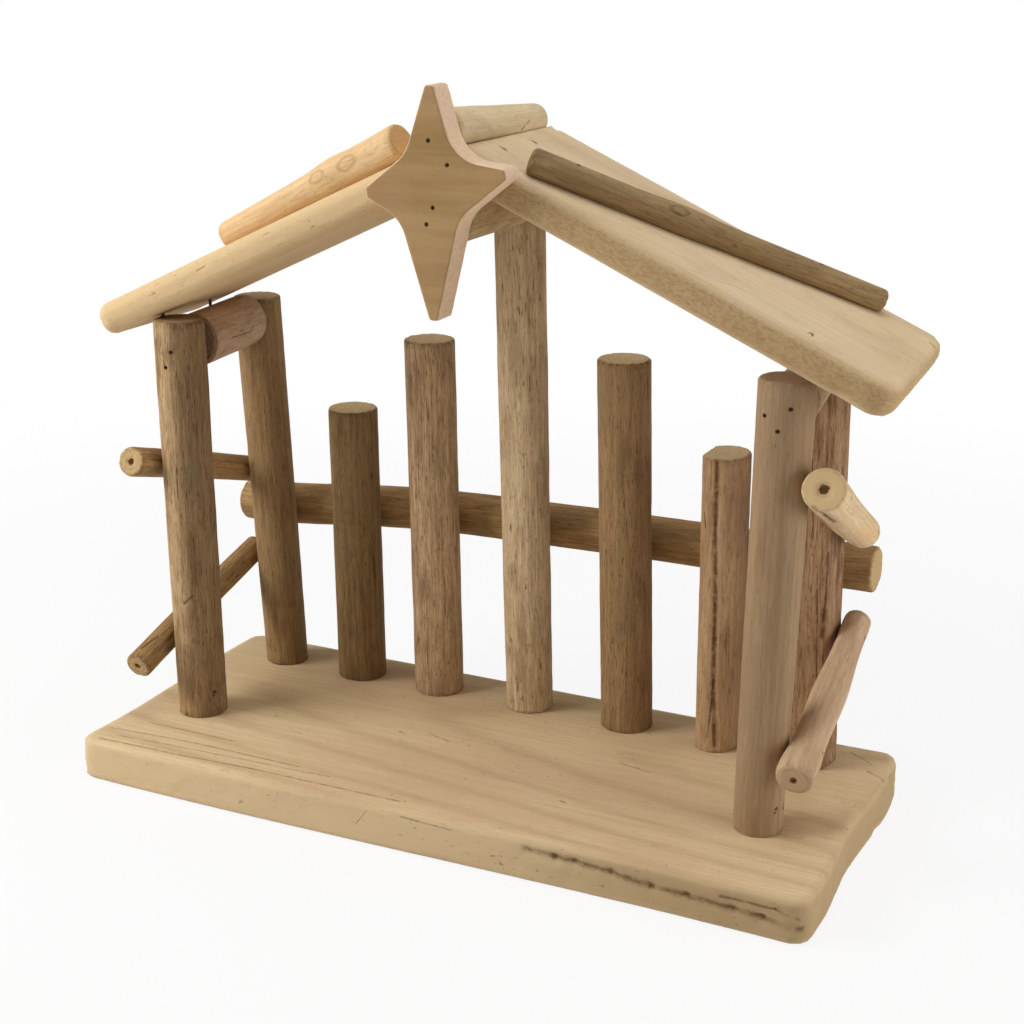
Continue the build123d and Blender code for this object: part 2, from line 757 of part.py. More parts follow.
# Ridge stick and roof sticks down onto the boards, near both ends
for share in (0.25, 0.8):
    y = between(roof_front_y, ridge_stick_rear_y, share)
    diameter = between(ridge_stick_front_d, ridge_stick_rear_d, share)
    start = (peak_x, y, in_ridge_groove(diameter) + diameter / 2)
    held = ("ridge_stick", "left_roof_board", "right_roof_board", "ridge_beam")
    drive_brad("roof_stick_brads", start, (0, 0, -1), held, length=diameter + long_grip)
for stick_name, board, side, top, low, thickness in (
    (
        "left_roof_stick", "left_roof_board", -1,
        (left_stick_top_run, left_stick_top_y, left_stick_top_d),
        (left_stick_low_run, left_stick_low_y, left_stick_low_d), left_board_thickness,
    ),
    (
        "right_roof_stick", "right_roof_board", 1,
        (right_stick_top_run, right_stick_top_y, right_stick_top_d),
        (right_stick_low_run, right_stick_low_y, right_stick_low_d), right_board_thickness,
    ),
):
    down = Vector(*up_from(side)) * -1
    for share in (0.12, 0.8):
        diameter = between(top[2], low[2], share)
        run, y = between(top[0], low[0], share), between(top[1], low[1], share)
        start = on_roof(side, run, y, thickness + diameter - bedding)
        drive_brad("roof_stick_brads", start, down, (stick_name, board), length=diameter + short_grip)

# Star into the ridge stick, the right board and the ridge beam behind it
star_face_y = roof_front_y - star_thickness
board_pin_x = peak_x + star_pin_right
for x, z, holder in (
    (peak_x - star_pin_side, in_ridge_groove(ridge_stick_front_d) - star_pin_drop, "ridge_stick"),
    (board_pin_x, underside(board_pin_x) + right_board_thickness / 2 + star_pin_lift, "right_roof_board"),
    (peak_x + star_pin_side, ridge_beam_z + star_pin_spread + star_pin_side, "ridge_beam"),
    (peak_x - 3 * star_pin_side, ridge_beam_z - star_pin_spread + star_pin_side, "ridge_beam"),
):
    drive_brad("star_brads", (x, star_face_y, z), (0, 1, 0), ("star", holder), length=2 * star_thickness)

for name, solid in pieces.items():
    export_step(solid, f"parts/{name}.step")
for name, group in fasteners.items():
    export_step(Compound(children=group), f"parts/{name}.step")

for name, solid in pieces.items():
    box = solid.bounding_box()
    print(name, len(solid.solids()), f"{solid.volume:.0f}", box.min, box.max)
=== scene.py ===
# %% [markdown]
# # A rustic stable of peeled sticks and sawn boards
#
# The stable is a little shed for a winter table: a sawn base board, nine upright sticks, a few sticks
# nailed across them, two roof boards and a star. The CAD frame already holds every piece in its place.
# This lesson keeps those places and gives each piece the skin of real wood: a mesh that is wrapped on the
# CAD surface, carved by a fraction of a millimetre, and finished with a shader that knows which way the
# grain runs.

# %% Load the frame
import math

import bmesh
import bpy
import numpy as np
from mathutils import Matrix, Vector
from mathutils.bvhtree import BVHTree

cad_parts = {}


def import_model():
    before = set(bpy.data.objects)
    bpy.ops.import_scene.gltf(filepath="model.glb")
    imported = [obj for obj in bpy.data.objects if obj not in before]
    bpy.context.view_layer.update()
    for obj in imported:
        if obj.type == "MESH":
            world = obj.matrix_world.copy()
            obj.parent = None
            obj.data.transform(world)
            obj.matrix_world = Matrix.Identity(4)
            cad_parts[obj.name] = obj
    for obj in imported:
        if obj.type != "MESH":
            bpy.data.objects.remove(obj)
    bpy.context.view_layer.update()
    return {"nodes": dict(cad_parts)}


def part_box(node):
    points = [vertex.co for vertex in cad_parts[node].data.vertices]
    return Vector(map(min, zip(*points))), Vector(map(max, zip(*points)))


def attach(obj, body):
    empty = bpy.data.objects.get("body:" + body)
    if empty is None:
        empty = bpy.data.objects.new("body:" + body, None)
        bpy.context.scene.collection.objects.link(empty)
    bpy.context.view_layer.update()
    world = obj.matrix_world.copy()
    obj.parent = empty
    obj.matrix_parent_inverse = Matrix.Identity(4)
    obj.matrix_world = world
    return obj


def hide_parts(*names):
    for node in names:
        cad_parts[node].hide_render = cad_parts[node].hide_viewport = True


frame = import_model()
mm = 0.001
print("nodes loaded:", len(frame["nodes"]))

# %% [markdown]
# The camera stands to the right of the front and looks slightly down, as a photographer would stand over a
# table. Its place is written as two angles and a point, so that the picture's frame follows from a few
# numbers. A long lens keeps the posts nearly parallel.

# %% Place the camera
picture_width = 1024
focal_pixels = 1756
sensor_width = 36.0
camera_azimuth = math.radians(26.07)
camera_elevation = math.radians(17.95)
camera_roll = math.radians(-0.41)
camera_place = Vector((269.2, -527.8, 298.9))

toward_camera = Vector((
    math.sin(camera_azimuth) * math.cos(camera_elevation),
    -math.cos(camera_azimuth) * math.cos(camera_elevation),
    math.sin(camera_elevation),
))
level_right = Vector((math.cos(camera_azimuth), math.sin(camera_azimuth), 0))
lean = Matrix.Rotation(camera_roll, 3, toward_camera)
camera_right = lean @ level_right
camera_up = lean @ toward_camera.cross(level_right)


def add_object(name, data):
    """A new object in the scene."""
    made = bpy.data.objects.new(name, data)
    bpy.context.scene.collection.objects.link(made)
    return made


camera_data = bpy.data.cameras.new("camera")
camera_data.sensor_fit = "HORIZONTAL"
camera_data.sensor_width = sensor_width
camera_data.lens = sensor_width * focal_pixels / picture_width
camera_data.clip_start = 0.01
camera = add_object("camera", camera_data)
turn = Matrix((camera_right, camera_up, toward_camera)).transposed().to_4x4()
camera.matrix_world = Matrix.Translation(camera_place * mm) @ turn
bpy.context.scene.camera = camera
print("lens in mm:", round(camera_data.lens, 2))

# %% [markdown]
# A shader is a small program of nodes. Writing it as Python sums is easier to read than linking nodes one by
# one, so one class wraps a socket: adding two wires adds a Math node, and any other kind of node comes from
# its `node` method.


# %% Write shader maths as Python
class Wire:
    """One output of a shader node, or the bare node tree when it has no socket."""

    def __init__(self, tree, socket=None):
        self.tree = tree
        self.socket = socket

    def node(self, kind, settings=None, values=None, output=0):
        """Add a node, set it up, feed its sockets and return one of its outputs."""
        made = self.tree.nodes.new("ShaderNode" + kind)
        for name, setting in (settings or {}).items():
            setattr(made, name, setting)
        for name, value in (values or {}).items():
            socket = made.inputs[name]
            if isinstance(value, Wire):
                self.tree.links.new(value.socket, socket)
            elif isinstance(value, tuple) and len(value) == 3 and socket.type == "RGBA":
                socket.default_value = (*value, 1)
            else:
                socket.default_value = value
        return Wire(self.tree, made.outputs[output])

    def math(self, operation, first, second=0.0):
        return self.node("Math", {"operation": operation}, {0: first, 1: second})

    def __add__(self, other):
        return self.math("ADD", self, other)

    def __radd__(self, other):
        return self.math("ADD", other, self)

    def __sub__(self, other):
        return self.math("SUBTRACT", self, other)

    def __rsub__(self, other):
        return self.math("SUBTRACT", other, self)

    def __mul__(self, other):
        return self.math("MULTIPLY", self, other)

    def __rmul__(self, other):
        return self.math("MULTIPLY", other, self)

    def __pow__(self, other):
        return self.math("POWER", self, other)

    def size(self):
        return self.math("ABSOLUTE", self)

    def wave(self):
        return self.math("SINE", self)

    def ramp(self, low, high):
        """A smooth step from 0 at low to 1 at high, or back where low is the larger."""
        limits = {"Value": self, "From Min": low, "From Max": high}
        return self.node("MapRange", {"interpolation_type": "SMOOTHSTEP"}, limits)

    def vector(self, operation, other, output=0):
        return self.node("VectorMath", {"operation": operation}, {0: self, 1: other}, output)

    def noise(self, stretch, detail=3.0, roughness=0.55):
        """Noise from 0 to 1 whose cells per millimetre are given for each direction."""
        cells = self.vector("MULTIPLY", stretch)
        values = {"Vector": cells, "Scale": 1.0, "Detail": detail, "Roughness": roughness}
        return self.node("TexNoise", {"noise_dimensions": "3D"}, values)

    def length(self):
        """How long a vector is."""
        return self.vector("LENGTH", (0.0, 0.0, 0.0), 1)

    def parts(self):
        """The three numbers of a vector."""
        return [self.node("SeparateXYZ", None, {0: self}, axis) for axis in range(3)]

    def tint(self, base, top):
        """The colour base turned into the colour top by this mask."""
        return self.node("Mix", {"data_type": "RGBA"}, {0: self, 6: base, 7: top}, 2)


def colour(red, green, blue):
    """A colour written as on a paint chart, 0 to 255, in the linear light of a shader."""
    linear = []
    for level in (red, green, blue):
        share = level / 255
        linear.append(share / 12.92 if share <= 0.04045 else ((share + 0.055) / 1.055) ** 2.4)
    return tuple(linear)


def new_finish(name):
    """A material with a plain principled shader, its shader node and a wire to add nodes with."""
    material = bpy.data.materials.new(name)
    material.use_nodes = True
    return material, material.node_tree.nodes["Principled BSDF"], Wire(material.node_tree)


print("shader helper ready")

# %% [markdown]
# The stable stands in soft light: a lamp at its front left, a weak one close to its right side, one overhead
# and a warm world that fills the shade. To the camera the world is plain white, so that nothing but the
# stable draws the eye.

# %% Light the table
white_strength = 1.0
fill_strength = 0.18
fill_tone = (1.0, 0.91, 0.77)
lamp_tone = (1.0, 0.99, 0.97)
lamp_target = Vector((0.0, 0.0, 0.1))
# Each lamp's place in metres, its width in metres and its power in watts.
lamps = {
    "left_lamp": (Vector((-0.57, -0.37, 0.44)), 0.4, 4.6),
    "right_lamp": (Vector((0.5, 0.0, 0.15)), 0.25, 0.8),
    "top_lamp": (Vector((0.1, 0.05, 0.9)), 0.6, 2.9),
}


def seen_directly(start):
    """1 for rays from the camera, and for the mirror and glass rays that would show the same white."""
    path = start.node("LightPath").socket.node
    kinds = ("Is Camera Ray", "Is Glossy Ray", "Is Transmission Ray")
    camera_ray, glossy_ray, glass_ray = (Wire(start.tree, path.outputs[kind]) for kind in kinds)
    return start.math("MINIMUM", camera_ray + glossy_ray + glass_ray, 1.0)


world = bpy.data.worlds.new("daylight")
world.use_nodes = True
sky = Wire(world.node_tree)
fill = sky.node("Background", None, {"Color": fill_tone, "Strength": fill_strength})
white = sky.node("Background", None, {"Color": (1, 1, 1), "Strength": white_strength})
mixed = sky.node("MixShader", None, {0: seen_directly(sky), 1: fill, 2: white})
world.node_tree.links.new(mixed.socket, world.node_tree.nodes["World Output"].inputs["Surface"])
bpy.context.scene.world = world

for lamp_name, (lamp_place, lamp_size, lamp_power) in lamps.items():
    lamp_data = bpy.data.lights.new(lamp_name, "AREA")
    lamp_data.energy = lamp_power
    lamp_data.size = lamp_size
    lamp_data.color = lamp_tone
    lamp = add_object(lamp_name, lamp_data)
    lamp.location = lamp_place
    lamp.visible_camera = False
    lamp.rotation_euler = (lamp_place - lamp_target).to_track_quat("Z", "Y").to_euler()
print("lamps:", list(lamps))

# %% [markdown]
# The floor is white where the camera sees it. Near the stable a part of it is a plain matt surface that takes
# the shadow, and further out that part fades away, so that no rim shows. It lies a hair under the base, so
# that the two surfaces don't fight for the same place.

# %% Lay the floor
floor_radius = 0.9
floor_drop = 0.0001
floor_sides = 96
floor_matt_share = 0.13
# Shares of the floor's radius from which and up to which the matt part fades away.
matt_far, matt_near = 0.75, 0.2
paper_tone = (0.8, 0.8, 0.8, 1.0)
paper_roughness = 0.9

floor_mesh = bpy.data.meshes.new("floor")
floor_shape = bmesh.new()
bmesh.ops.create_circle(floor_shape, cap_ends=True, segments=floor_sides, radius=floor_radius)
floor_shape.to_mesh(floor_mesh)
floor_shape.free()
floor = add_object("floor", floor_mesh)
floor.location.z = -floor_drop

floor_material, floor_shader, paper = new_finish("white_paper")
floor_shader.inputs["Base Color"].default_value = paper_tone
floor_shader.inputs["Roughness"].default_value = paper_roughness
floor_shader.inputs["Specular IOR Level"].default_value = 0.0
glow = paper.node("Emission", None, {"Color": (1, 1, 1), "Strength": white_strength})
matt = Wire(floor_material.node_tree, floor_shader.outputs[0])
floor_place = paper.node("TexCoord", None, None, 3)
near = floor_place.length().ramp(floor_radius * matt_far, floor_radius * matt_near)
white_share = seen_directly(paper) * (1 - near * floor_matt_share)
floor_look = paper.node("MixShader", None, {0: white_share, 1: matt, 2: glow})
floor_output = floor_material.node_tree.nodes["Material Output"]
floor_material.node_tree.links.new(floor_look.socket, floor_output.inputs["Surface"])
floor_mesh.materials.append(floor_material)
bpy.context.scene.view_settings.view_transform = "Standard"
print("floor radius in m:", floor_radius)

# %% [markdown]
# Every piece of wood is rough in its own way, and the roughness has to be the same each time the script runs.
# A little noise function on a lattice does that: each lattice corner gets a number from its own place and a
# seed, and points between the corners blend the eight numbers around them.

# %% Make repeatable noise
lattice_factors = (73856093, 19349663, 83492791)
seed_factor = 2654435761
scramble_factor = 1274126177
word, half_word = 0xFFFFFFFF, 0xFFFF


def corner_number(cell, seed):
    """A number from -1 to 1 that belongs to one corner of the lattice."""
    mixed = np.bitwise_xor.reduce(cell * np.array(lattice_factors), axis=-1)
    mixed = (mixed ^ (seed * seed_factor)) & word
    mixed = ((mixed ^ (mixed >> 13)) * scramble_factor) & word
    mixed = mixed ^ (mixed >> 16)
    return (mixed & half_word) / (half_word // 2) - 1.0


def rough(points, seed, stretch):
    """Smooth noise from -1 to 1 at each point, with so many cells per millimetre in each direction."""
    points = np.asarray(points) * np.asarray(stretch)
    cell = np.floor(points).astype(np.int64)
    part = points - cell
    part = part * part * (3 - 2 * part)
    total = np.zeros(points.shape[:-1])
    for corner in range(8):
        step = np.array([corner & 1, corner >> 1 & 1, corner >> 2 & 1])
        share = np.prod(np.where(step == 1, part, 1 - part), axis=-1)
        total += share * corner_number(cell + step, seed)
    return total


print("noise at one point:", round(float(rough(np.array([[0.5, 1.5, 2.5]]), 3, (1, 1, 1))[0]), 3))

# %% [markdown]
# To wrap a new skin on a piece, its CAD surface has to answer two questions: where does a ray hit it, and
# where does it lie as a whole? A search tree answers the first. Many points scattered evenly over the surface
# answer the second: their spread gives the direction in which a stick is long.

# %% Read the CAD surfaces
scatter_count, scatter_seed = 20000, 7
# How far away a ray starts, in millimetres.
ray_distance = 80.0
skin_trees = {}


def corners_and_triangles(node):
    """A node's corners in millimetres and its triangles."""
    mesh = frame["nodes"][node].data
    corners = np.empty(len(mesh.vertices) * 3)
    mesh.vertices.foreach_get("co", corners)
    mesh.calc_loop_triangles()
    triangles = np.empty(len(mesh.loop_triangles) * 3, dtype=np.int64)
    mesh.loop_triangles.foreach_get("vertices", triangles)
    return corners.reshape(-1, 3) / mm, triangles.reshape(-1, 3)


def skin_tree(node):
    """A search tree of the node's CAD surface, made once."""
    if node not in skin_trees:
        corners, triangles = corners_and_triangles(node)
        skin_trees[node] = BVHTree.FromPolygons(corners.tolist(), triangles.tolist())
    return skin_trees[node]


def scattered(node):
    """Points spread evenly over the node's surface."""
    corners, triangles = corners_and_triangles(node)
    chance = np.random.default_rng(scatter_seed)
    first, second, third = (corners[triangles[:, k]] for k in range(3))
    areas = np.linalg.norm(np.cross(second - first, third - first), axis=1)
    picked = chance.choice(len(triangles), scatter_count, p=areas / areas.sum())
    across = np.sqrt(chance.random(scatter_count))[:, None]
    along = chance.random(scatter_count)[:, None]
    return first[picked] * (1 - across) + across * (second[picked] * (1 - along) + third[picked] * along)


def hit(tree, start, direction):
    """Where a ray first meets the surface, or None."""
    found = tree.ray_cast(Vector(start), Vector(direction))[0]
    return None if found is None else np.array(found)


def hit_from(tree, away, base):
    """Where a ray that starts far away in a direction and runs in to base meets the surface, or None."""
    return hit(tree, base + away * ray_distance, -away)


def seen_at(node, pixel):
    """The point of a node's surface that the camera sees at a pixel of its picture, or the nearest one."""
    right, down = pixel[0] - picture_width / 2, pixel[1] - picture_width / 2
    direction = camera_right * right - camera_up * down - toward_camera * focal_pixels
    direction.normalize()
    found = hit(skin_tree(node), camera_place, direction)
    if found is None:
        low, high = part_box(node)
        middle = (Vector(low) + Vector(high)) / 2 / mm
        passing = camera_place + direction * direction.dot(middle - camera_place)
        found = np.array(skin_tree(node).find_nearest(passing)[0])
    return found


print("surface reader ready")

# %% [markdown]
# A peeled stick is a bent tube with two sawn ends. Three things are read off its CAD surface before it is
# wrapped: the heart line that it bends along, the plane of each sawn end, and its thickness. The small nail
# holes are smoothed over here, because they are sunk later with finer faces.

# %% Measure a stick
bend_degree = 4
nail_hole_depth = 0.25
# Depths within whole_rim of the outermost one belong to the sawn end, and depths within flat_end of its plane
# are kept for the next fit.
whole_rim, flat_end, plane_fits = 2.5, 0.3, 3


def stick_frame(node):
    """A stick's middle, its three directions with the long one last, its bend and its reach."""
    points = scattered(node)
    middle = points.mean(0)
    along = np.linalg.eigh(np.cov((points - middle).T))[1][:, 2]
    if along[np.argmax(np.abs(along))] < 0:
        along = -along
    side = np.cross(along, (0.0, 1.0, 0.0) if abs(along[1]) < 0.7 else (1.0, 0.0, 0.0))
    side /= np.linalg.norm(side)
    axes = np.array([side, np.cross(along, side), along])
    local = (points - middle) @ axes.T
    bend = [np.polyfit(local[:, 2], local[:, k], bend_degree) for k in range(2)]
    return middle, axes, bend, local[:, 2].min(), local[:, 2].max()


def smooth_over(radii):
    """Replace lone deep points, which fell into a nail hole, by the middle value around them."""
    shifted = []
    for row_step in range(-2, 3):
        for step in range(-2, 3):
            moved = np.roll(radii, step, axis=1)
            rows = np.clip(np.arange(len(radii)) + row_step, 0, len(radii) - 1)
            shifted.append(moved[rows])
    usual = np.median(shifted, axis=0)
    return np.where(np.abs(radii - usual) > nail_hole_depth, usual, radii)


def levelled(depth, turns, outward):
    """The plane of a sawn end from its depths round the rim, whatever part of the rim is cut away."""
    round_rim = np.array([np.ones(len(turns)), np.cos(turns), np.sin(turns)]).T
    outermost = np.nanmax(depth * outward)
    whole = depth * outward > outermost - whole_rim
    for fit in range(plane_fits):
        plane = np.linalg.lstsq(round_rim[whole], depth[whole], rcond=None)[0]
        whole = np.abs(depth - round_rim @ plane) < flat_end
    return round_rim @ plane


print("stick reader ready")

# %% [markdown]
# The skin of a stick is a grid: rings of points along it and smaller rings on its ends. Each point comes from
# a ray that is sent at the CAD surface from outside, so the grid follows every bend, knot and seat that the
# stick has there. Between the side and each end a few rings roll over a quarter circle, because no stick
# keeps a sharp rim.

# %% Wrap a grid on a stick
# Spacing of the rings and of the points on a ring, in millimetres, and the fewest points on a ring.
ring_spacing, point_spacing, fewest_columns = 0.9, 0.8, 40
# How far past its scattered points a stick may reach, and how far inside its end its thickness is read.
end_slack, end_reading, end_reading_share = 0.2, 12.0, 0.3
# An end's rim is read at this share of its radius.
rim_reading = 0.9
# Turns of the rings that roll over a rim, and how many rows beside them count as rim.
rim_turns, rim_rows = np.radians((12, 28, 45, 62, 78)), 3
# Rings on an end, as shares of its radius, and the rings in millimetres that close in on its pith.
end_shares = (0.99, 0.965, 0.935, 0.9, 0.85, 0.78, 0.68, 0.57, 0.46, 0.35, 0.25, 0.15)
pith_edge, pith_clearance = (1.1, 0.9, 0.45), 1.25


def wrap_stick(node, rims):
    """The stick's grid of rows and columns in millimetres, its masks, its low end and its directions.

    The two numbers in rims are the roundings of its low and its high end.
    """
    tree = skin_tree(node)
    middle, axes, bend, low, high = stick_frame(node)
    along = axes[2]

    def centre(place):
        """The stick's heart line at one place along it, or at many."""
        heart = middle + np.multiply.outer(place, along)
        for k in range(2):
            heart = heart + np.multiply.outer(np.polyval(bend[k], place), axes[k])
        return heart

    def reach(heart, direction):
        found = hit_from(tree, direction, heart)
        return np.nan if found is None else float(np.dot(found - heart, direction))

    low, high = low - end_slack, high + end_slack
    inner = min(end_reading, end_reading_share * (high - low))
    middle_radius = reach(centre((low + high) / 2), axes[0])
    count = int(max(fewest_columns, round(2 * math.pi * middle_radius / point_spacing)))
    turns = np.linspace(0, 2 * math.pi, count, endpoint=False)
    spokes = np.cos(turns)[:, None] * axes[0] + np.sin(turns)[:, None] * axes[1]

    ends = []
    for place, outward, rim in ((low, -1, rims[0]), (high, 1, rims[1])):
        size = np.array([reach(centre(place - outward * inner), spoke) for spoke in spokes])
        size = np.where(np.isnan(size), np.nanmedian(size), size)
        depth = []
        for spoke, radius in zip(spokes, size):
            start = centre(place) + spoke * min(radius * rim_reading, radius - rim)
            found = hit_from(tree, along * outward, start)
            depth.append(np.nan if found is None else float(np.dot(found - middle, along)))
        ends.append((levelled(np.array(depth), turns, outward), rim, outward))

    row_count = int((high - low) / ring_spacing)
    shares = np.linspace(0, 1, row_count)[:, None]
    places = (ends[0][0] + rims[0]) * (1 - shares) + (ends[1][0] - rims[1]) * shares
    hearts = centre(places)
    radii = np.array([[reach(*point) for point in zip(row, spokes)] for row in hearts])
    radii = smooth_over(np.where(np.isnan(radii), np.nanmedian(radii, axis=0), radii))
    rows = list(hearts + spokes * radii[..., None])

    def cap(radius_row, place_row, depth, rim, outward):
        """Rings that roll over the rim of an end and run in to its pith."""
        rings = []
        for turn in rim_turns:
            place = place_row + outward * rim * math.sin(turn)
            rings.append(centre(place) + spokes * (radius_row - rim * (1 - math.cos(turn)))[:, None])
        flat_radius = radius_row - rim
        smallest = pith_edge[0] * pith_clearance / flat_radius.mean()
        sizes = [flat_radius * share for share in end_shares if share > smallest]
        sizes += [np.full(count, radius) for radius in pith_edge]
        for radius in sizes:
            base = centre(place_row) + spokes * radius[:, None]
            ring = base + np.multiply.outer(depth - place_row, along)
            for k in range(count):
                found = hit_from(tree, along * outward, base[k])
                if found is not None:
                    ring[k] = found
            rings.append(ring)
        return rings

    start_cap = cap(radii[0], places[0], *ends[0])
    end_cap = cap(radii[-1], places[-1], *ends[1])
    grid = np.array(start_cap[::-1] + rows + end_cap)
    half_roll = len(rim_turns) // 2
    start_rim, end_rim = len(start_cap) - 1 - half_roll, len(grid) - len(end_cap) + half_roll
    end_mask = np.zeros(len(grid))
    end_mask[:start_rim] = 1
    end_mask[end_rim + 1:] = 1
    rim_mask = np.zeros(len(grid))
    for rim_row in (start_rim, end_rim):
        steps = np.abs(np.arange(len(grid)) - rim_row) - half_roll
        rim_mask = np.maximum(rim_mask, np.clip(1 - steps / rim_rows, 0, 1))
    return grid, end_mask, rim_mask, centre(low), axes


print("stick wrapper ready")

# %% [markdown]
# A grid of points turns into a skin when faces join its neighbours. Every ring is joined to the next one by
# four-sided faces, and the last ring of each end is closed by triangles round one point in its middle.


# %% Join a grid with faces
def ring_faces(row_count, count):
    """Faces between rows of points that run right round."""
    faces = []
    for row in range(row_count - 1):
        for column in range(count):
            beside = (column + 1) % count
            here, above = row * count, (row + 1) * count
            faces.append((here + column, here + beside, above + beside, above + column))
    return faces


def tube_faces(row_count, count):
    """Faces of a closed grid whose first and last rows are drawn together to a point."""
    faces = ring_faces(row_count, count)
    start_pole, end_pole = row_count * count, row_count * count + 1
    last = (row_count - 1) * count
    for column in range(count):
        beside = (column + 1) % count
        faces.append((start_pole, beside, column))
        faces.append((end_pole, last + column, last + beside))
    return faces


def with_poles(grid):
    """A grid's points in one list, with the middles of its first and last rows at the end."""
    return np.concatenate([grid.reshape(-1, 3), [grid[0].mean(0)], [grid[-1].mean(0)]])


def spread(row_mask, count, pole):
    """A mask of rows as a mask of points, with its value at both poles."""
    return np.concatenate([np.repeat(row_mask, count), [pole, pole]])


print("faces of a small grid:", len(tube_faces(3, 4)))

# %% [markdown]
# Nails hold the sticks. Their shanks are CAD pieces already, sunk a millimetre below the wood, so each one
# marks where the wood needs a hole. The outer end of a nail is the one from which a ray runs free. The screws
# come up through the base, so each of them needs a wider seat in its underside.

# %% Find the nails
nail_sink, nail_slack = 1.0, 0.05
# The radius and the depth in millimetres of a nail's hole and of a screw's seat.
nail_hole = (0.55, nail_sink + nail_slack)
screw_seat = (3.5, 1.7)
nail_nodes = [name for name in frame["nodes"] if name.endswith("_brads")]
wood_nodes = [name for name in frame["nodes"] if name not in (*nail_nodes, "base_screws")]


def loose_parts(node):
    """The corners of each separate solid in a node."""
    mesh = frame["nodes"][node].data
    shape = bmesh.new()
    shape.from_mesh(mesh)
    bmesh.ops.remove_doubles(shape, verts=shape.verts, dist=1e-6)
    unseen = set(shape.verts)
    found = []
    while unseen:
        part = [unseen.pop()]
        for corner in part:
            others = {edge.other_vert(corner) for edge in corner.link_edges} & unseen
            unseen -= others
            part += others
        found.append(np.array([corner.co for corner in part]) / mm)
    shape.free()
    return found


holes = {name: [] for name in wood_nodes}
for part in [part for nail_node in nail_nodes for part in loose_parts(nail_node)]:
    middle = (part.min(0) + part.max(0)) / 2
    along = np.linalg.svd(part - part.mean(0), full_matrices=False)[2][0]
    half = ((part - middle) @ along).max()
    choices = []
    for outward in (along, -along):
        tip = middle + outward * half
        mouth = tip + outward * nail_sink
        ahead = [hit(skin_tree(name), tip - outward * nail_slack, outward) for name in wood_nodes]
        blocked = sum(first is not None and np.linalg.norm(first - tip) < nail_sink for first in ahead)
        gaps = [skin_tree(name).find_nearest(Vector(mouth))[3] for name in wood_nodes]
        choices.append((blocked, min(gaps), wood_nodes[int(np.argmin(gaps))], mouth, outward))
    host, mouth, outward = min(choices, key=lambda choice: choice[:2])[2:]
    holes[host].append((mouth, outward, *nail_hole))
for part in loose_parts("base_screws"):
    mouth = (part.min(0) + part.max(0)) / 2 * np.array([1.0, 1.0, 0.0])
    holes["base_board"].append((mouth, np.array([0.0, 0.0, -1.0]), *screw_seat))
print("nail holes:", {name: len(found) for name, found in holes.items() if found})

# %% [markdown]
# A nail hole is smaller than the faces of the skin, so the faces around it are cut finer first. The points in
# its middle are then pushed in, and those around it remember how much rust has run into the wood.

# %% Sink the nail holes
# Millimetres: the slope of a hole's wall, the fine faces around it, its shortest edges and its stain.
hole_wall, hole_margin, finest_edge, stain_margin = 0.12, 0.9, 0.22, 0.35
hole_passes = 4
# The edges in a wide hole may be longer: its radius over this number.
edges_per_radius = 8
# Faces this far outside the fine ones are looked at, if they face the nail at least this much.
face_margin, least_facing = 1.2, 0.2
# A nail that is driven at more of a slant than this shows only a shallow hole.
steep_pin = 0.8


def sink_holes(shape, mouths):
    """Cut fine faces around each nail or screw and push the middle ones in."""
    stain = shape.verts.layers.float.new("stain")
    for mouth, outward, hole_radius, sunk in mouths:
        spot, out = Vector(mouth) * mm, Vector(outward)
        hole_reach = hole_radius + hole_margin
        hole_edge = max(finest_edge, hole_radius / edges_per_radius)
        shape.normal_update()
        facing = min(shape.faces, key=lambda face: (face.calc_center_median() - spot).length).normal.copy()
        if facing.dot(out) < steep_pin:
            out, sunk = facing, sunk / 2
        edges = set()
        for face in shape.faces:
            away = (face.calc_center_median() - spot).length / mm
            if away < hole_reach + face_margin and face.normal.dot(out) > least_facing:
                edges.update(face.edges)
        for cutting in range(hole_passes):
            long_edges = []
            for edge in edges:
                middle = (edge.verts[0].co + edge.verts[1].co) / 2 - spot
                if edge.calc_length() > hole_edge * mm and middle.length < hole_reach * mm:
                    long_edges.append(edge)
            if not long_edges:
                break
            cut = bmesh.ops.subdivide_edges(shape, edges=long_edges, cuts=1, use_grid_fill=True)
            touched = {part for part in cut["geom"] if isinstance(part, bmesh.types.BMFace)}
            touched |= {face for edge in long_edges if edge.is_valid for face in edge.link_faces}
            wide = [face for face in touched if face.is_valid and len(face.verts) > 4]
            bmesh.ops.triangulate(shape, faces=wide)
            edges = set()
            for corner in shape.verts:
                if (corner.co - spot).length < hole_reach * mm:
                    edges.update(corner.link_edges)
        for corner in shape.verts:
            away = corner.co - spot
            if away.length > 2 * hole_reach * mm:
                continue
            radius = (away - out * away.dot(out)).length / mm
            depth = min(1.0, max(0.0, (hole_radius + hole_wall - radius) / hole_wall))
            corner.co -= out * depth * sunk * mm
            dark = min(1.0, max(0.0, (hole_radius + stain_margin - radius) / stain_margin))
            corner[stain] = max(corner[stain], dark)


print("hole cutter ready")

# %% [markdown]
# One function dresses any piece: it takes the wrapped points, carves them inward along their normals, sinks
# the nail holes, and stores what the shader needs on the points. The carving is only ever inward, so the
# piece stays inside its CAD solid and never touches its neighbours.


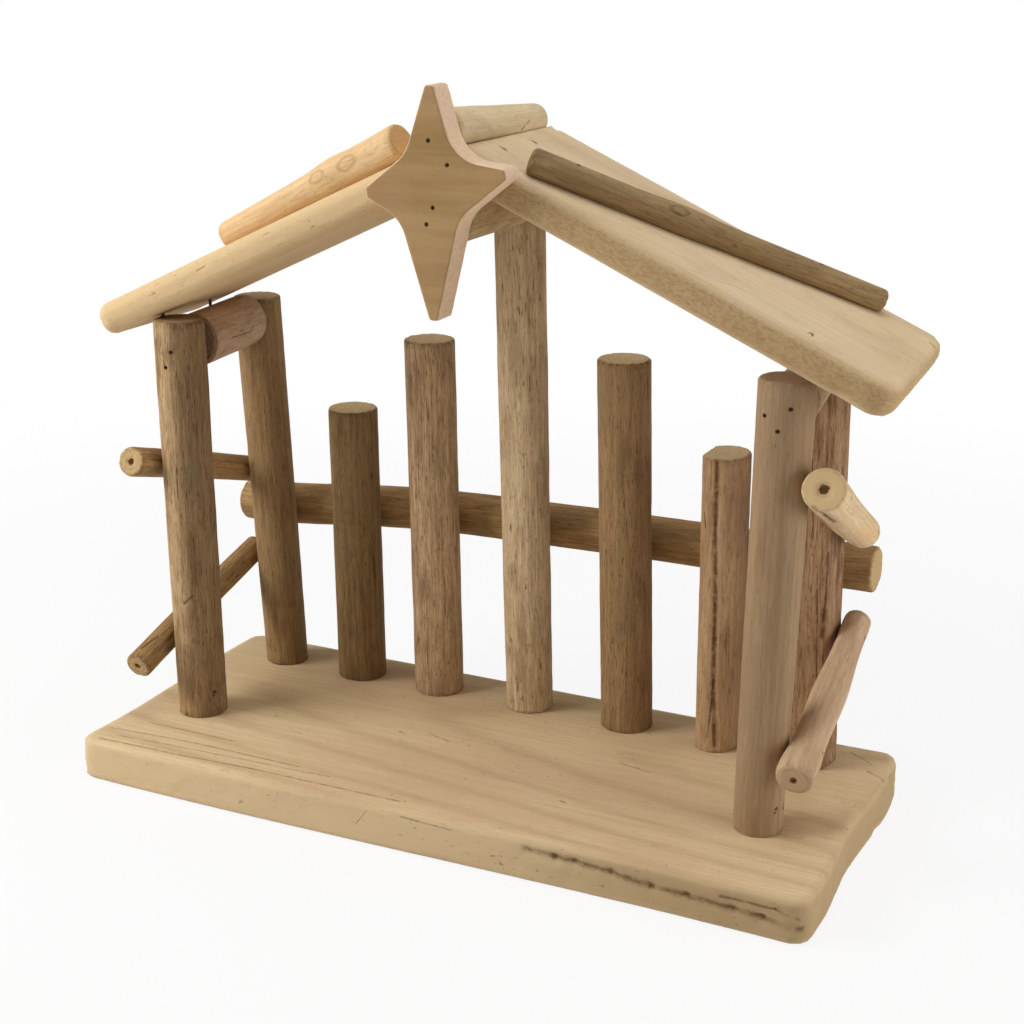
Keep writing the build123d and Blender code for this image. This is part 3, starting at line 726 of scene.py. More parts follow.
# %% Dress a piece
def dress(node, points, faces, masks, origin, axes, relief, finish):
    """Make the wooden piece that stands for a CAD node; masks are numbers kept on its points by name."""
    mesh = bpy.data.meshes.new(node + ".wood")
    mesh.from_pydata((points * mm).tolist(), [], faces)
    normals = np.empty(len(points) * 3)
    mesh.vertices.foreach_get("normal", normals)
    normals = normals.reshape(-1, 3)
    grain = (points - origin) @ axes.T
    carved = points - normals * np.clip(relief(grain, masks), 0, None)[:, None]
    mesh.vertices.foreach_set("co", (carved * mm).ravel())
    for mask_name, mask in masks.items():
        layer = mesh.attributes.new(mask_name, "FLOAT", "POINT")
        layer.data.foreach_set("value", mask)
    grain_layer = mesh.attributes.new("grain", "FLOAT_VECTOR", "POINT")
    grain_layer.data.foreach_set("vector", grain.ravel())
    shape = bmesh.new()
    shape.from_mesh(mesh)
    sink_holes(shape, holes.get(node, []))
    bmesh.ops.recalc_face_normals(shape, faces=shape.faces)
    for face in shape.faces:
        face.smooth = True
    shape.to_mesh(mesh)
    shape.free()
    mesh.materials.append(finish)
    piece = add_object(node + ".wood", mesh)
    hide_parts(node)
    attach(piece, "root")
    return piece


print("dresser ready")

# %% [markdown]
# Splits and knots are the marks by which one stick is told from another, so they are drawn in their places
# and not left to chance. A split is a thin line between two points, broken by noise, and a knot is an oval
# spot.

# %% Draw splits and knots
nail_rust, crack_brown = colour(62, 42, 27), colour(92, 54, 25)
wood_gloss = 0.2
# A knot no larger than this, in millimetres, is a plain dark spot without an outline.
plain_knot = 1.5


def reading(start, name):
    """A number that was kept on the points of the mesh."""
    return start.node("Attribute", {"attribute_name": name}, None, 2)


def grain_reading(start):
    """The grain coordinates that were kept on the points of the mesh."""
    return start.node("Attribute", {"attribute_name": "grain"}, None, 1)


def moved(place, seed, shift):
    """Grain coordinates moved by a shift for each seed, so that no two pieces have the same noise."""
    return place.vector("ADD", tuple(seed * part for part in shift))


def connect(shader, colour_wire, roughness_wire, bump_height, bump_distance):
    """Feed the changing values to the principled shader."""
    tree = colour_wire.tree
    tree.links.new(colour_wire.socket, shader.inputs["Base Color"])
    tree.links.new(roughness_wire.socket, shader.inputs["Roughness"])
    bump = colour_wire.node("Bump", None, {"Strength": 1.0, "Distance": bump_distance, "Height": bump_height})
    tree.links.new(bump.socket, shader.inputs["Normal"])
    shader.inputs["Specular IOR Level"].default_value = wood_gloss


def crack_mask(place, wobble, start, end, width):
    """1 on a thin broken split that runs from start to end, both in grain coordinates."""
    line = np.array(end) - np.array(start)
    length = float(np.linalg.norm(line))
    direction = tuple(float(part) for part in line / length)
    offset = place.vector("SUBTRACT", tuple(float(part) for part in start))
    share = offset.vector("DOT_PRODUCT", direction, 1)
    share = share.math("MINIMUM", share.math("MAXIMUM", share, 0.0), length)
    foot = place.node("VectorMath", {"operation": "SCALE"}, {0: direction, "Scale": share})
    gap = offset.vector("SUBTRACT", foot).length()
    stray = place.noise((0.13, 0.13, 0.13), 2.0)
    broken = place.noise((0.3, 0.3, 0.3), 2.0).ramp(0.36, 0.52)
    width_here = gap + (wobble - 0.5) * (0.9 * width) + (stray - 0.5).size() * (1.2 * width)
    return width_here.ramp(width, 0.0) * (broken * 0.5 + 0.5)


def knot_masks(place, wobble, middle, size):
    """The dark outline and the filled spot of an oval knot, long along the grain."""
    offset = place.vector("SUBTRACT", tuple(float(part) for part in middle))
    reach = offset.vector("MULTIPLY", (1.0, 1.0, 0.55)).length()
    reach = reach + (wobble - 0.5) * (0.9 * size)
    outline = (reach - size).size().ramp(0.45 * size, 0.0)
    spot = reach.ramp(0.8 * size, 0.1 * size)
    return outline, spot


print("marks ready")

# %% [markdown]
# Peeled wood is not one colour. Long fibres run along the stick in paler and darker streaks, broad patches
# are greyer where the bark came off early, and short dark flecks are left from the inner bark. The sawn ends
# show rings instead. The shader reads the grain coordinates, so the streaks bend and turn with each stick.

# %% Mix the finish of a peeled stick
# Millimetres by which the noise moves for each seed, and the height in metres of the finest bumps.
stick_shift, stick_bump = (13.7, 7.3, 31.1), 0.0003


def peeled_wood(name, tones, seed, coarse, pith_and_hollow_shade_size, painted_shade_side, cracks=(), knots=()):
    """The finish of one peeled stick from its tones: pale, middle, deep, patina and sawn end."""
    pale, middle, deep, patina, sawn_end = (colour(*tone) for tone in tones)
    material, shader, start = new_finish(name)
    place = grain_reading(start)
    end, rim, stain = (reading(start, mask) for mask in ("end", "rim", "stain"))
    shifted = moved(place, seed, stick_shift)
    sway_values = {"Vector": shifted, "Scale": 0.03, "Detail": 1.0}
    sway = start.node("TexNoise", {"noise_dimensions": "3D"}, sway_values, 1)
    bent = shifted.vector("ADD", sway.vector("MULTIPLY", (2.6, 2.6, 0.0)))
    fibres = bent.noise((1.7, 1.7, 0.14), 5.0, 0.8)
    streaks = bent.noise((0.7, 0.7, 0.02), 4.0, 0.65)
    patches = bent.noise((0.1, 0.1, 0.03), 3.0)
    mottle = shifted.noise((0.55, 0.55, 0.3), 5.0, 0.7)
    splits = bent.noise((1.5, 1.5, 0.17), 4.0, 0.65).ramp(0.6, 0.7)
    across, beside, along = place.parts()
    drift = shifted.noise((0.2, 0.2, 0.02), 2.0)
    from_pith = (across * across + beside * beside) ** 0.5
    rings = ((from_pith + drift * 3.0) * 3.6).wave() * 0.5 + 0.5
    body = streaks.ramp(0.34, 0.66).tint(middle, pale)
    body = (patches.ramp(0.46, 0.68) * 0.7).tint(body, patina)
    body = (mottle.ramp(0.48, 0.72) * 0.4).tint(body, middle)
    body = (patches.ramp(0.46, 0.3) * (0.4 * coarse)).tint(body, deep)
    body = (mottle.ramp(0.46, 0.3) * (0.4 * coarse)).tint(body, deep)
    # Painted shade: the deep tone darkens the side of the stick that faces away from the lamp.
    if painted_shade_side is not None:
        turned = across * float(painted_shade_side[0]) + beside * float(painted_shade_side[1])
        body = ((turned + (mottle - 0.5) * 4.0).ramp(1.0, 7.0) * 0.45).tint(body, deep)
    body = (fibres.ramp(0.46, 0.7) * (0.6 * coarse)).tint(body, deep)
    body = (fibres.ramp(0.44, 0.28) * (0.4 * coarse)).tint(body, pale)
    body = (splits * (0.6 * coarse)).tint(body, crack_brown)
    grain_dots = shifted.noise((2.4, 2.4, 0.5), 3.0, 0.7)
    sawn = (rings * 0.2 + grain_dots.ramp(0.4, 0.7) * 0.5).tint(sawn_end, middle)
    sawn = (grain_dots.ramp(0.58, 0.7) * (0.5 * coarse)).tint(sawn, deep)
    # The pith is painted darker: partly the soft pith's own brown, partly painted shade in the hollow round
    # it.
    pith = (from_pith + mottle * 1.5).ramp(pith_and_hollow_shade_size + 0.9, pith_and_hollow_shade_size * 0.4) * along.ramp(3.0, 1.5)
    sawn = (pith * 0.6).tint(sawn, deep)
    look = end.tint(body, sawn)
    look = (rim * mottle.ramp(0.4, 0.62) * (0.6 * coarse)).tint(look, deep)
    height = fibres * (0.8 * coarse) + streaks * 0.3 - splits * (0.8 * coarse)
    height = height + mottle * 0.3 + rings * end * 0.1
    for first, last, width in cracks:
        crack = crack_mask(place, fibres, first, last, width)
        look = (crack * 0.95).tint(look, crack_brown)
        height = height - crack * 0.6
    for spot_place, size in knots:
        outline, spot = knot_masks(place, mottle, spot_place, size)
        ringed, filled = (0.5, 0.12) if size > plain_knot else (0.0, 0.6)
        look = (outline * ringed + spot * filled).tint(look, deep)
        height = height + spot * 0.4 - outline * 0.3
    look = (stain * min(0.9, 0.3 + 0.55 * coarse)).tint(look, nail_rust)
    connect(shader, look, fibres * 0.2 + 0.66, height, stick_bump * coarse)
    return material


print("stick finish ready")

# %% [markdown]
# The nine uprights and the sticks nailed across them come from different branches, so each has its own tones
# and its own roughness. The front posts are the two best looked at: the left one is coarse and weathered, the
# right one smooth and pinkish.

# %% Choose the tones of the sticks
olive, rose, honey = (146, 123, 86), (182, 147, 118), (222, 184, 134)
ash, bark = (156, 131, 101), (98, 71, 45)
# Each stick's pale, middle, deep, patina and sawn end tones, its material slot, how deep it is carved in
# millimetres and how coarse its fibres are.
sticks = {
    "front_left_post": (
        ((204, 172, 130), (172, 140, 99), bark, ash, (158, 128, 93)), "post_wood", 0.34, 1.25),
    "front_right_post": (
        ((174, 146, 114), (157, 129, 98), (118, 91, 65), ash, (150, 122, 92)), "post_wood", 0.12, 0.5),
    "rear_left_post": (
        ((172, 140, 101), (146, 115, 77), bark, olive, (150, 122, 86)), "post_wood", 0.24, 1.0),
    "left_short_picket": (
        ((156, 128, 88), (129, 102, 65), (86, 62, 39), olive, (218, 194, 148)), "post_wood", 0.24, 1.0),
    "left_tall_picket": (
        ((220, 187, 150), (182, 149, 112), bark, ash, (214, 190, 148)), "post_wood", 0.26, 1.1),
    "centre_post": (
        ((232, 206, 170), (206, 179, 141), (132, 105, 73), (172, 147, 110), (196, 172, 134)),
        "post_wood", 0.28, 1.15),
    "right_tall_picket": (
        ((174, 141, 102), (148, 117, 81), bark, olive, (232, 208, 166)), "post_wood", 0.24, 1.05),
    "right_short_picket": (
        ((198, 165, 126), (176, 142, 106), (112, 76, 48), rose, (216, 194, 154)), "post_wood", 0.2, 0.9),
    "rear_right_post": (
        ((188, 152, 119), (148, 113, 79), (90, 58, 36), (176, 141, 109), (180, 150, 116)),
        "stake_wood", 0.22, 1.25),
    # The wall plate's dark brown sawn end tone is painted shadow, for the front end that the front left post
    # shades.
    "left_wall_plate": (
        ((220, 190, 160), (202, 172, 142), (132, 104, 77), rose, (124, 96, 68)), "post_wood", 0.16, 0.8),
    "right_wall_plate": (
        ((188, 160, 124), (166, 138, 104), (112, 86, 60), olive, (180, 152, 112)), "post_wood", 0.16, 0.8),
    "left_side_rail": (
        ((206, 169, 120), (178, 143, 98), (108, 80, 50), olive, (206, 176, 130)), "rail_wood", 0.18, 1.0),
    "left_brace": (
        ((188, 152, 103), (152, 119, 76), (86, 61, 37), olive, (196, 164, 118)), "rail_wood", 0.22, 1.15),
    "right_side_rail": (
        ((232, 208, 170), (216, 189, 148), (164, 134, 98), honey, (220, 192, 142)), "rail_wood", 0.14, 0.55),
    "right_brace": (
        ((214, 184, 152), (194, 164, 132), (142, 112, 84), rose, (190, 162, 126)), "rail_wood", 0.12, 0.5),
    "rear_rail": (
        ((192, 155, 106), (163, 128, 84), (100, 72, 43), olive, (206, 176, 128)), "rail_wood", 0.18, 0.85),
    "ridge_beam": (
        ((214, 187, 142), (194, 166, 122), (130, 103, 70), olive, (200, 172, 127)), "post_wood", 0.16, 0.8),
    "ridge_stick": (
        ((236, 216, 182), (224, 202, 164), (164, 136, 100), honey, (214, 190, 148)), "roof_wood", 0.14, 0.5),
    "left_roof_stick": (
        ((230, 199, 154), (218, 181, 134), (164, 128, 86), honey, (204, 168, 118)), "roof_wood", 0.12, 0.5),
    "right_roof_stick": (
        ((178, 152, 112), (152, 126, 90), (98, 75, 49), olive, (172, 144, 105)), "roof_wood", 0.16, 0.8),
}
print("sticks with tones:", len(sticks))

# %% [markdown]
# Each stick has marks of its own: splits from drying, knots where a twig grew, ends that are worn round, and
# soft piths that have left a hollow. They are placed by the pixels at which the camera sees them.

# %% Mark splits, knots and worn ends
# Splits that stand out in the picture: pixels along the split and its width in millimetres.
seen_cracks = {
    "left_wall_plate": [([(232, 338), (250, 332), (268, 325)], 0.4), ([(236, 349), (262, 341)], 0.25)],
    "right_short_picket": [
        ([(717, 462), (715, 525), (715, 599), (714, 639), (713, 695), (714, 746)], 1.6),
        ([(707, 738), (711, 704), (713, 680)], 0.6), ([(704, 512), (705, 528)], 0.6)],
    "rear_right_post": [
        ([(829, 553), (826, 599), (823, 621)], 0.8), ([(824, 612), (822, 636)], 2.0),
        ([(817, 590), (816, 690)], 0.6), ([(812, 460), (813, 540)], 0.5)],
    "front_left_post": [([(184, 604), (193, 596)], 0.6), ([(176, 470), (178, 500)], 0.3)],
    "left_brace": [([(141, 648), (158, 636)], 0.7), ([(170, 640), (176, 628)], 0.5)],
    "right_side_rail": [([(813, 508), (822, 514), (835, 523)], 1.6)],
    "ridge_stick": [([(522, 130), (530, 121)], 0.6)],
    "left_short_picket": [([(374, 556), (376, 584)], 0.9)],
    "left_tall_picket": [([(417, 440), (419, 500)], 0.3), ([(427, 640), (428, 680)], 0.3)],
    "right_tall_picket": [([(647, 362), (649, 400)], 0.7)],
}
# Knots that stand out: the pixel of a knot's middle and its size in millimetres.
seen_knots = {
    "left_roof_stick": [((316, 177), 1.9), ((346, 163), 2.2)],
    "right_roof_stick": [((680, 210), 1.6), ((735, 246), 1.3)],
    "centre_post": [((527, 238), 1.0), ((523, 384), 1.0)],
    "left_short_picket": [((372, 476), 1.4)],
    "front_right_post": [((775, 446), 0.7)],
    "rear_right_post": [((823, 621), 1.5)],
}
# A pixel on the side of a stick that gets painted shade, the side that faces away from the lamp.
painted_shade_sides = {"front_left_post": (205, 470)}
# How far the rims are rounded in millimetres: of a worn end, of a foot that was sawn to stand on the base,
# and of the ends that are worn more or less than the others.
worn_rim, foot_rim = 1.05, 0.35
round_ends = {
    "right_roof_stick": 2.0, "left_roof_stick": 1.7, "ridge_stick": 1.9, "right_brace": 2.2,
    "left_brace": 1.0, "left_side_rail": 1.1, "right_side_rail": 0.9, "front_right_post": 1.5,
}
# The depth and the radius in millimetres of the hollow in the front end of a stick with a soft pith.
hollow_ends = {
    "right_side_rail": (1.2, 3.2), "left_side_rail": (0.7, 2.0),
    "right_brace": (0.6, 1.6), "left_brace": (0.6, 1.6),
}
no_hollow = (0.0, 0.1)
print("sticks with splits:", len(seen_cracks), "with knots:", len(seen_knots))

# %% [markdown]
# A stick is carved before it is finished: shallow hollows and dents, fibres that stand up, nicks, and chips
# along its rims. The noise of each stick has its own seed, so no two of them are alike.

# %% Carve and dress the sticks
# Millimetres: how deep rims are chipped, how deep a split is cut and how far its flanks reach beside it.
rim_chip, split_cut, split_flank = 0.35, 0.35, 0.5


def in_grain(node, pixel, origin, axes):
    """The point that the camera sees at a pixel, in grain coordinates."""
    return (seen_at(node, pixel) - origin) @ axes.T


def split_lines(node, drawn, origin, axes):
    """Splits drawn on the picture as straight pieces in grain coordinates, each with its width."""
    pieces = []
    for pixels, width in drawn:
        spots = [in_grain(node, pixel, origin, axes) for pixel in pixels]
        pieces += [(first, last, width) for first, last in zip(spots, spots[1:])]
    return pieces


def line_gap(grain, first, last):
    """How far each point is from a straight line between two others."""
    line = np.array(last) - np.array(first)
    share = np.clip((grain - first) @ line / (line @ line), 0, 1)
    return np.linalg.norm(grain - first - share[:, None] * line, axis=1)


def bark_relief(seed, depth, cracks, hollow):
    """How deep the skin of a peeled stick is carved, in millimetres."""

    def relief(grain, masks):
        sway = rough(grain, seed + 10, (0.05, 0.05, 0.05))[:, None] * np.array([1.2, 1.2, 0.0])
        fibres = rough(grain + sway, seed, (0.9, 0.9, 0.07))
        hollows = rough(grain, seed + 50, (0.12, 0.12, 0.06))
        dents = rough(grain, seed + 70, (0.3, 0.3, 0.2))
        nicks = np.clip(rough(grain, seed + 90, (0.7, 0.7, 0.14)) - 0.5, 0, None)
        saw = rough(grain, seed + 130, (0.9, 0.9, 0.9))
        side = depth * (0.5 + 0.2 * fibres + 0.4 * hollows + 0.25 * dents) + nicks * depth
        for first, last, width in cracks:
            side += split_cut * np.clip(1 - line_gap(grain, first, last) / (width + split_flank), 0, 1)
        hollow_depth, hollow_radius = hollow
        from_pith = np.linalg.norm(grain[:, :2], axis=1) * (1 + 0.25 * saw)
        bowl = hollow_depth * np.clip(1 - from_pith / hollow_radius, 0, 1) * (grain[:, 2] < hollow_radius)
        ends = 0.1 + 0.1 * saw + bowl
        bites = np.clip(rough(grain, seed + 150, (0.4, 0.4, 0.4)) - 0.15, 0, None)
        chips = rim_chip * masks["rim"] * bites
        return np.where(masks["end"] > 0.5, ends, side) + chips

    return relief


total_faces = 0
for number, (node, (tones, slot_name, depth, coarse)) in enumerate(sticks.items()):
    high_rim = round_ends.get(node, worn_rim)
    low_rim = foot_rim if node.endswith(("_post", "_picket")) else high_rim
    grid, end_mask, rim_mask, origin, axes = wrap_stick(node, (low_rim, high_rim))
    row_count, count = grid.shape[:2]
    masks = {"end": spread(end_mask, count, 1.0), "rim": spread(rim_mask, count, 0.0)}
    cracks = split_lines(node, seen_cracks.get(node, []), origin, axes)
    knots = [(in_grain(node, pixel, origin, axes), size) for pixel, size in seen_knots.get(node, [])]
    hollow = hollow_ends.get(node, no_hollow)
    painted_shade_side = None
    if node in painted_shade_sides:
        outward = in_grain(node, painted_shade_sides[node], origin, axes)[:2]
        painted_shade_side = outward / np.linalg.norm(outward)
    finish = peeled_wood(node + "_finish", tones, number + 1, coarse, hollow[1], painted_shade_side, cracks, knots)
    relief = bark_relief(number + 1, depth, cracks, hollow)
    faces = tube_faces(row_count, count)
    piece = dress(node, with_poles(grid), faces, masks, origin, axes, relief, finish)
    total_faces += len(piece.data.polygons)
print("sticks dressed:", len(sticks), "faces:", total_faces)

# %% [markdown]
# Boards are different: flat faces, four rounded edges and four corners. Their skin starts from a core
# rectangle in the middle of the board. Points walk round that core and look outward, fanning at the corners,
# and each one draws a strip over the edge from the top face to the bottom one.

# %% Wrap a grid on a board
# Millimetres: the spacing of the points, how far the core lies inside the board, how far an edge reaches into
# the faces, and how close points or edges have to be to be joined.
board_spacing, core_inset, edge_softness = 1.4, 14.0, 2.5
joined_points, joined_edges = 0.02, 0.005
corner_fan = 7
# Shares of the way from the core to the rim, and of the way from the bottom face to the top one.
edge_shares = (0.3, 0.55, 0.75, 0.88, 0.95, 0.985)
side_shares = (0.9, 0.78, 0.64, 0.5, 0.36, 0.22, 0.1)


def wrap_board(node, axes):
    """A board's points, faces, edge mask, middle and half sizes.

    Its thickness runs along axes[1] and its grain along axes[2].
    """
    tree = skin_tree(node)
    cloud = scattered(node) @ axes.T
    middle = (cloud.min(0) + cloud.max(0)) / 2
    half = cloud.max(0) - middle
    wide, thick, long = half

    def world(width, height, length):
        return (middle + np.array([width, height, length])) @ axes

    def face_height(width, length, sign):
        """How high the top face lies there, or the bottom one where sign is -1."""
        found = hit(tree, world(width, sign * ray_distance, length), -sign * axes[1])
        return sign * thick if found is None else float(found @ axes[1] - middle[1])

    def rim_distance(width, length, facing, height):
        """How far the rim is from a point of the core at a height, or else at half the thickness."""
        away = math.cos(facing) * axes[0] + math.sin(facing) * axes[2]
        for level in (height, 0.0):
            base = world(width, level, length)
            found = hit_from(tree, away, base)
            if found is not None:
                return float(np.dot(found - base, away))
        return core_inset

    core_wide, core_long = wide - core_inset, long - core_inset
    wide_count = max(2, round(2 * core_wide / board_spacing))
    long_count = max(2, round(2 * core_long / board_spacing))
    widths = np.linspace(-core_wide, core_wide, wide_count + 1)
    lengths = np.linspace(-core_long, core_long, long_count + 1)
    fan = np.linspace(0, math.pi / 2, corner_fan + 2)[1:-1]
    sides = (
        ([(width, -core_long) for width in widths], -math.pi / 2),
        ([(core_wide, length) for length in lengths], 0.0),
        ([(width, core_long) for width in widths[::-1]], math.pi / 2),
        ([(-core_wide, length) for length in lengths[::-1]], math.pi),
    )
    rim = []
    for walk, facing in sides:
        rim += [(*spot, facing) for spot in walk]
        rim += [(*walk[-1], facing + step) for step in fan]

    def face_row(share, sign):
        """Points on a face at a share of the way from the core to the rim."""
        row = []
        for width, length, facing in rim:
            distance = rim_distance(width, length, facing, 0.0)
            width = width + math.cos(facing) * distance * share
            length = length + math.sin(facing) * distance * share
            row.append(world(width, face_height(width, length, sign), length))
        return row

    top_rows, bottom_rows = ([face_row(share, sign) for share in (0.0, *edge_shares)] for sign in (1, -1))
    side_rows = []
    for share in side_shares:
        row = []
        for (width, length, facing), top, bottom in zip(rim, top_rows[-1], bottom_rows[-1]):
            high, low = (float(spot @ axes[1] - middle[1]) for spot in (top, bottom))
            height = low + (high - low) * share
            distance = rim_distance(width, length, facing, height)
            width = width + math.cos(facing) * distance
            row.append(world(width, height, length + math.sin(facing) * distance))
        side_rows.append(row)
    strip = np.array(top_rows + side_rows + bottom_rows[::-1])
    points = list(strip.reshape(-1, 3))
    faces = ring_faces(*strip.shape[:2])
    for sign in (1, -1):
        heights = [[face_height(width, length, sign) for length in lengths] for width in widths]
        start = len(points)
        for width, row in zip(widths, smooth_over(np.array(heights))):
            points += [world(width, height, length) for height, length in zip(row, lengths)]
        for i in range(wide_count):
            for j in range(long_count):
                corner = start + i * (long_count + 1) + j
                beside = corner + long_count + 1
                faces.append((corner, corner + 1, beside + 1, beside))
    shape = bmesh.new()
    corners = [shape.verts.new(point) for point in points]
    for face in faces:
        shape.faces.new([corners[k] for k in face])
    bmesh.ops.remove_doubles(shape, verts=shape.verts, dist=joined_points)
    bmesh.ops.dissolve_degenerate(shape, edges=shape.edges, dist=joined_edges)
    bmesh.ops.recalc_face_normals(shape, faces=shape.faces)
    shape.verts.index_update()
    points = np.array([corner.co for corner in shape.verts])
    faces = [[corner.index for corner in face.verts] for face in shape.faces]
    shape.free()
    depth = thick - np.abs(points @ axes[1] - middle[1])
    edge_mask = np.clip(depth / edge_softness, 0, 1)
    return points, faces, edge_mask, middle @ axes, half


print("board wrapper ready")

# %% [markdown]
# The base is one plank, sawn and sanded but not planed. Its growth rings were cut at a shallow angle, so they
# run as long lines near the front edge and close in arches toward the back. The two roof boards are thinner
# and paler, with their edges rubbed round.

# %% Mix the finish of a sawn board
board_shift, board_bump = (11.3, 5.9, 17.7), 0.00028


def sawn_wood(name, tones, seed, heart, lean, ring_rate, ring_strength, speckle, shade, cracks=()):
    """The finish of a plank from its pale, middle, deep, blush and edge tones.

    Its growth rings lie around a heart line that passes below the plank and slants by lean. Its edges are
    painted
    darker toward the far end by shade: painted shade where less light reaches them.
    """
    pale, middle, deep, blush, edge_tone = (colour(*tone) for tone in tones)
    material, shader, start = new_finish(name)
    place = grain_reading(start)
    edge, stain = (reading(start, mask) for mask in ("end", "stain"))
    shifted = moved(place, seed, board_shift)
    across, beside, along = place.parts()
    drift = shifted.noise((0.03, 0.05, 0.01), 4.0, 0.6)
    off_width = across - heart[0] - along * lean[0]
    off_depth = beside - heart[1] - along * lean[1]
    distance = (off_width * off_width + off_depth * off_depth) ** 0.5 + drift * 7.0
    rings = ((distance * ring_rate).wave() * 0.5 + 0.5) ** 4.0
    lines = shifted.noise((0.9, 0.9, 0.012), 5.0, 0.65)
    pores = shifted.noise((2.6, 2.6, 0.12), 4.0, 0.7)
    fuzz = shifted.noise((1.1, 1.1, 0.6), 5.0, 0.75)
    patches = shifted.noise((0.03, 0.05, 0.014), 3.0)
    clouds = shifted.noise((0.09, 0.09, 0.05), 3.0)
    specks = shifted.noise((0.8, 0.8, 0.45), 3.0, 0.6).ramp(0.62, 0.7)
    body = lines.ramp(0.36, 0.64).tint(middle, pale)
    body = (patches.ramp(0.45, 0.65) * 0.6).tint(body, blush)
    body = (clouds.ramp(0.5, 0.66) * 0.15).tint(body, edge_tone)
    body = (rings * (ring_strength * 0.6) + rings * clouds * (ring_strength * 0.8)).tint(body, deep)
    body = (pores.ramp(0.5, 0.74) * 0.3 + fuzz.ramp(0.52, 0.8) * 0.26).tint(body, deep)
    body = (edge * (fuzz.ramp(0.42, 0.62) * 0.3 + 0.68)).tint(body, edge_tone)
    # Painted shade: the edges darken toward the far end, where the lamp at the left gives less light.
    body = (edge * shade * along.ramp(20.0, 110.0)).tint(body, deep)
    body = (specks * (edge * 0.3 + clouds.ramp(0.5, 0.62)) * speckle).tint(body, colour(*bark))
    height = pores * 0.45 + rings * 0.2 + fuzz * 0.5 - specks * speckle
    for first, last, width in cracks:
        crack = crack_mask(place, fuzz, first, last, width)
        body = (crack * min(0.7, 0.2 + 0.5 * width)).tint(body, crack_brown)
        height = height - crack * 0.7
    look = (stain * 0.8).tint(body, nail_rust)
    connect(shader, look, pores * 0.2 + 0.66, height, board_bump)
    return material


print("board finish ready")

# %% [markdown]
# Three boards take this finish. The base lies level with its grain from left to right, and each roof board
# runs down its slope. Their chips and splits are placed by the pixels at which the camera sees them.

# %% Describe the boards
base_axes = np.array([[0.0, 1.0, 0.0], [0.0, 0.0, 1.0], [1.0, 0.0, 0.0]])
roof_angle = math.radians(24.4)


def roof_axes(side):
    """Directions of a roof board: across the roof, out of its face and down its slope."""
    down = np.array([side * math.cos(roof_angle), 0.0, -math.sin(roof_angle)])
    out = np.array([side * math.sin(roof_angle), 0.0, math.cos(roof_angle)])
    return np.array([np.cross(out, down), out, down])


# Each board's directions; how deep its faces are carved, its edges are chipped and its edges sway, in
# millimetres; its material slot; its pale, middle, deep, blush and edge tones; its rings as a seed, a heart
# line, a slant, a turn per millimetre and a strength; how speckled it is and how much painted shade darkens
# its edges toward the far end.
boards = {
    "base_board": (
        base_axes, (0.12, 0.6, 0.9), "base_wood",
        ((228, 203, 164), (216, 191, 150), (168, 138, 98), (216, 184, 150), (217, 192, 151)),
        (3, (22.0, -49.0), (0.0, 0.12), 0.62, 0.26), (0.35, 0.6)),
    "left_roof_board": (
        roof_axes(-1), (0.12, 0.3, 0.4), "roof_wood",
        ((222, 194, 150), (212, 182, 138), (176, 144, 102), (226, 188, 142), (214, 186, 142)),
        (5, (4.0, -70.0), (0.01, 0.03), 0.6, 0.2), (0.35, 0.0)),
    "right_roof_board": (
        roof_axes(1), (0.1, 0.22, 0.4), "roof_wood",
        ((236, 213, 180), (226, 202, 166), (176, 146, 106), (226, 200, 162), (176, 145, 99)),
        (8, (-6.0, -70.0), (0.02, 0.03), 0.6, 0.18), (0.2, 0.0)),
}
# Chips that stand out at the edges: the pixel, the radius and the depth in millimetres.
board_chips = {
    "base_board": [
        ((885, 768), 6.0, 1.1), ((893, 782), 5.0, 1.2), ((866, 850), 7.0, 1.0),
        ((600, 905), 8.0, 0.9), ((360, 862), 9.0, 0.8), ((455, 883), 7.0, 0.9),
    ],
    "left_roof_board": [((118, 330), 5.0, 0.8)],
    "right_roof_board": [((845, 398), 8.0, 1.1), ((934, 345), 5.0, 1.0)],
}
# Splits that stand out: pixels along the split and its width in millimetres.
board_cracks = {
    "base_board": [
        ([(525, 850), (553, 858), (573, 863), (609, 874), (648, 888),
          (685, 897), (731, 910), (760, 919), (803, 931)], 2.0),
        ([(720, 897), (774, 911), (800, 921)], 1.0), ([(400, 817), (450, 831)], 0.6),
        ([(850, 752), (872, 764)], 0.7), ([(868, 771), (884, 780)], 0.8), ([(800, 838), (868, 818)], 0.4),
        ([(112, 727), (190, 741), (300, 766)], 0.6), ([(150, 722), (235, 741)], 0.5),
        ([(100, 738), (250, 768), (400, 801)], 0.7), ([(120, 735), (330, 776)], 0.5),
        ([(400, 731), (406, 733)], 0.7), ([(430, 733), (450, 741)], 0.5), ([(354, 826), (366, 812)], 0.4),
        ([(239, 803), (241, 803)], 1.0), ([(620, 762), (650, 772)], 0.5), ([(560, 800), (566, 802)], 0.7),
    ],
    "left_roof_board": [([(196, 271), (204, 266)], 0.5), ([(262, 236), (268, 232)], 0.4)],
    "right_roof_board": [([(692, 270), (760, 296)], 0.35), ([(931, 341), (937, 346)], 0.8)],
}
print("boards:", list(boards))

# %% [markdown]
# Sawn faces are nearly flat, but the edges of these boards are rubbed, chipped and no longer straight. The
# carving is therefore shallow on the faces and deeper toward the edges.

# %% Carve and dress the boards
# How deep a board's split is cut, as a share of its width, and how many millimetres its flanks reach.
board_split_cut, board_split_flank = 0.5, 0.6


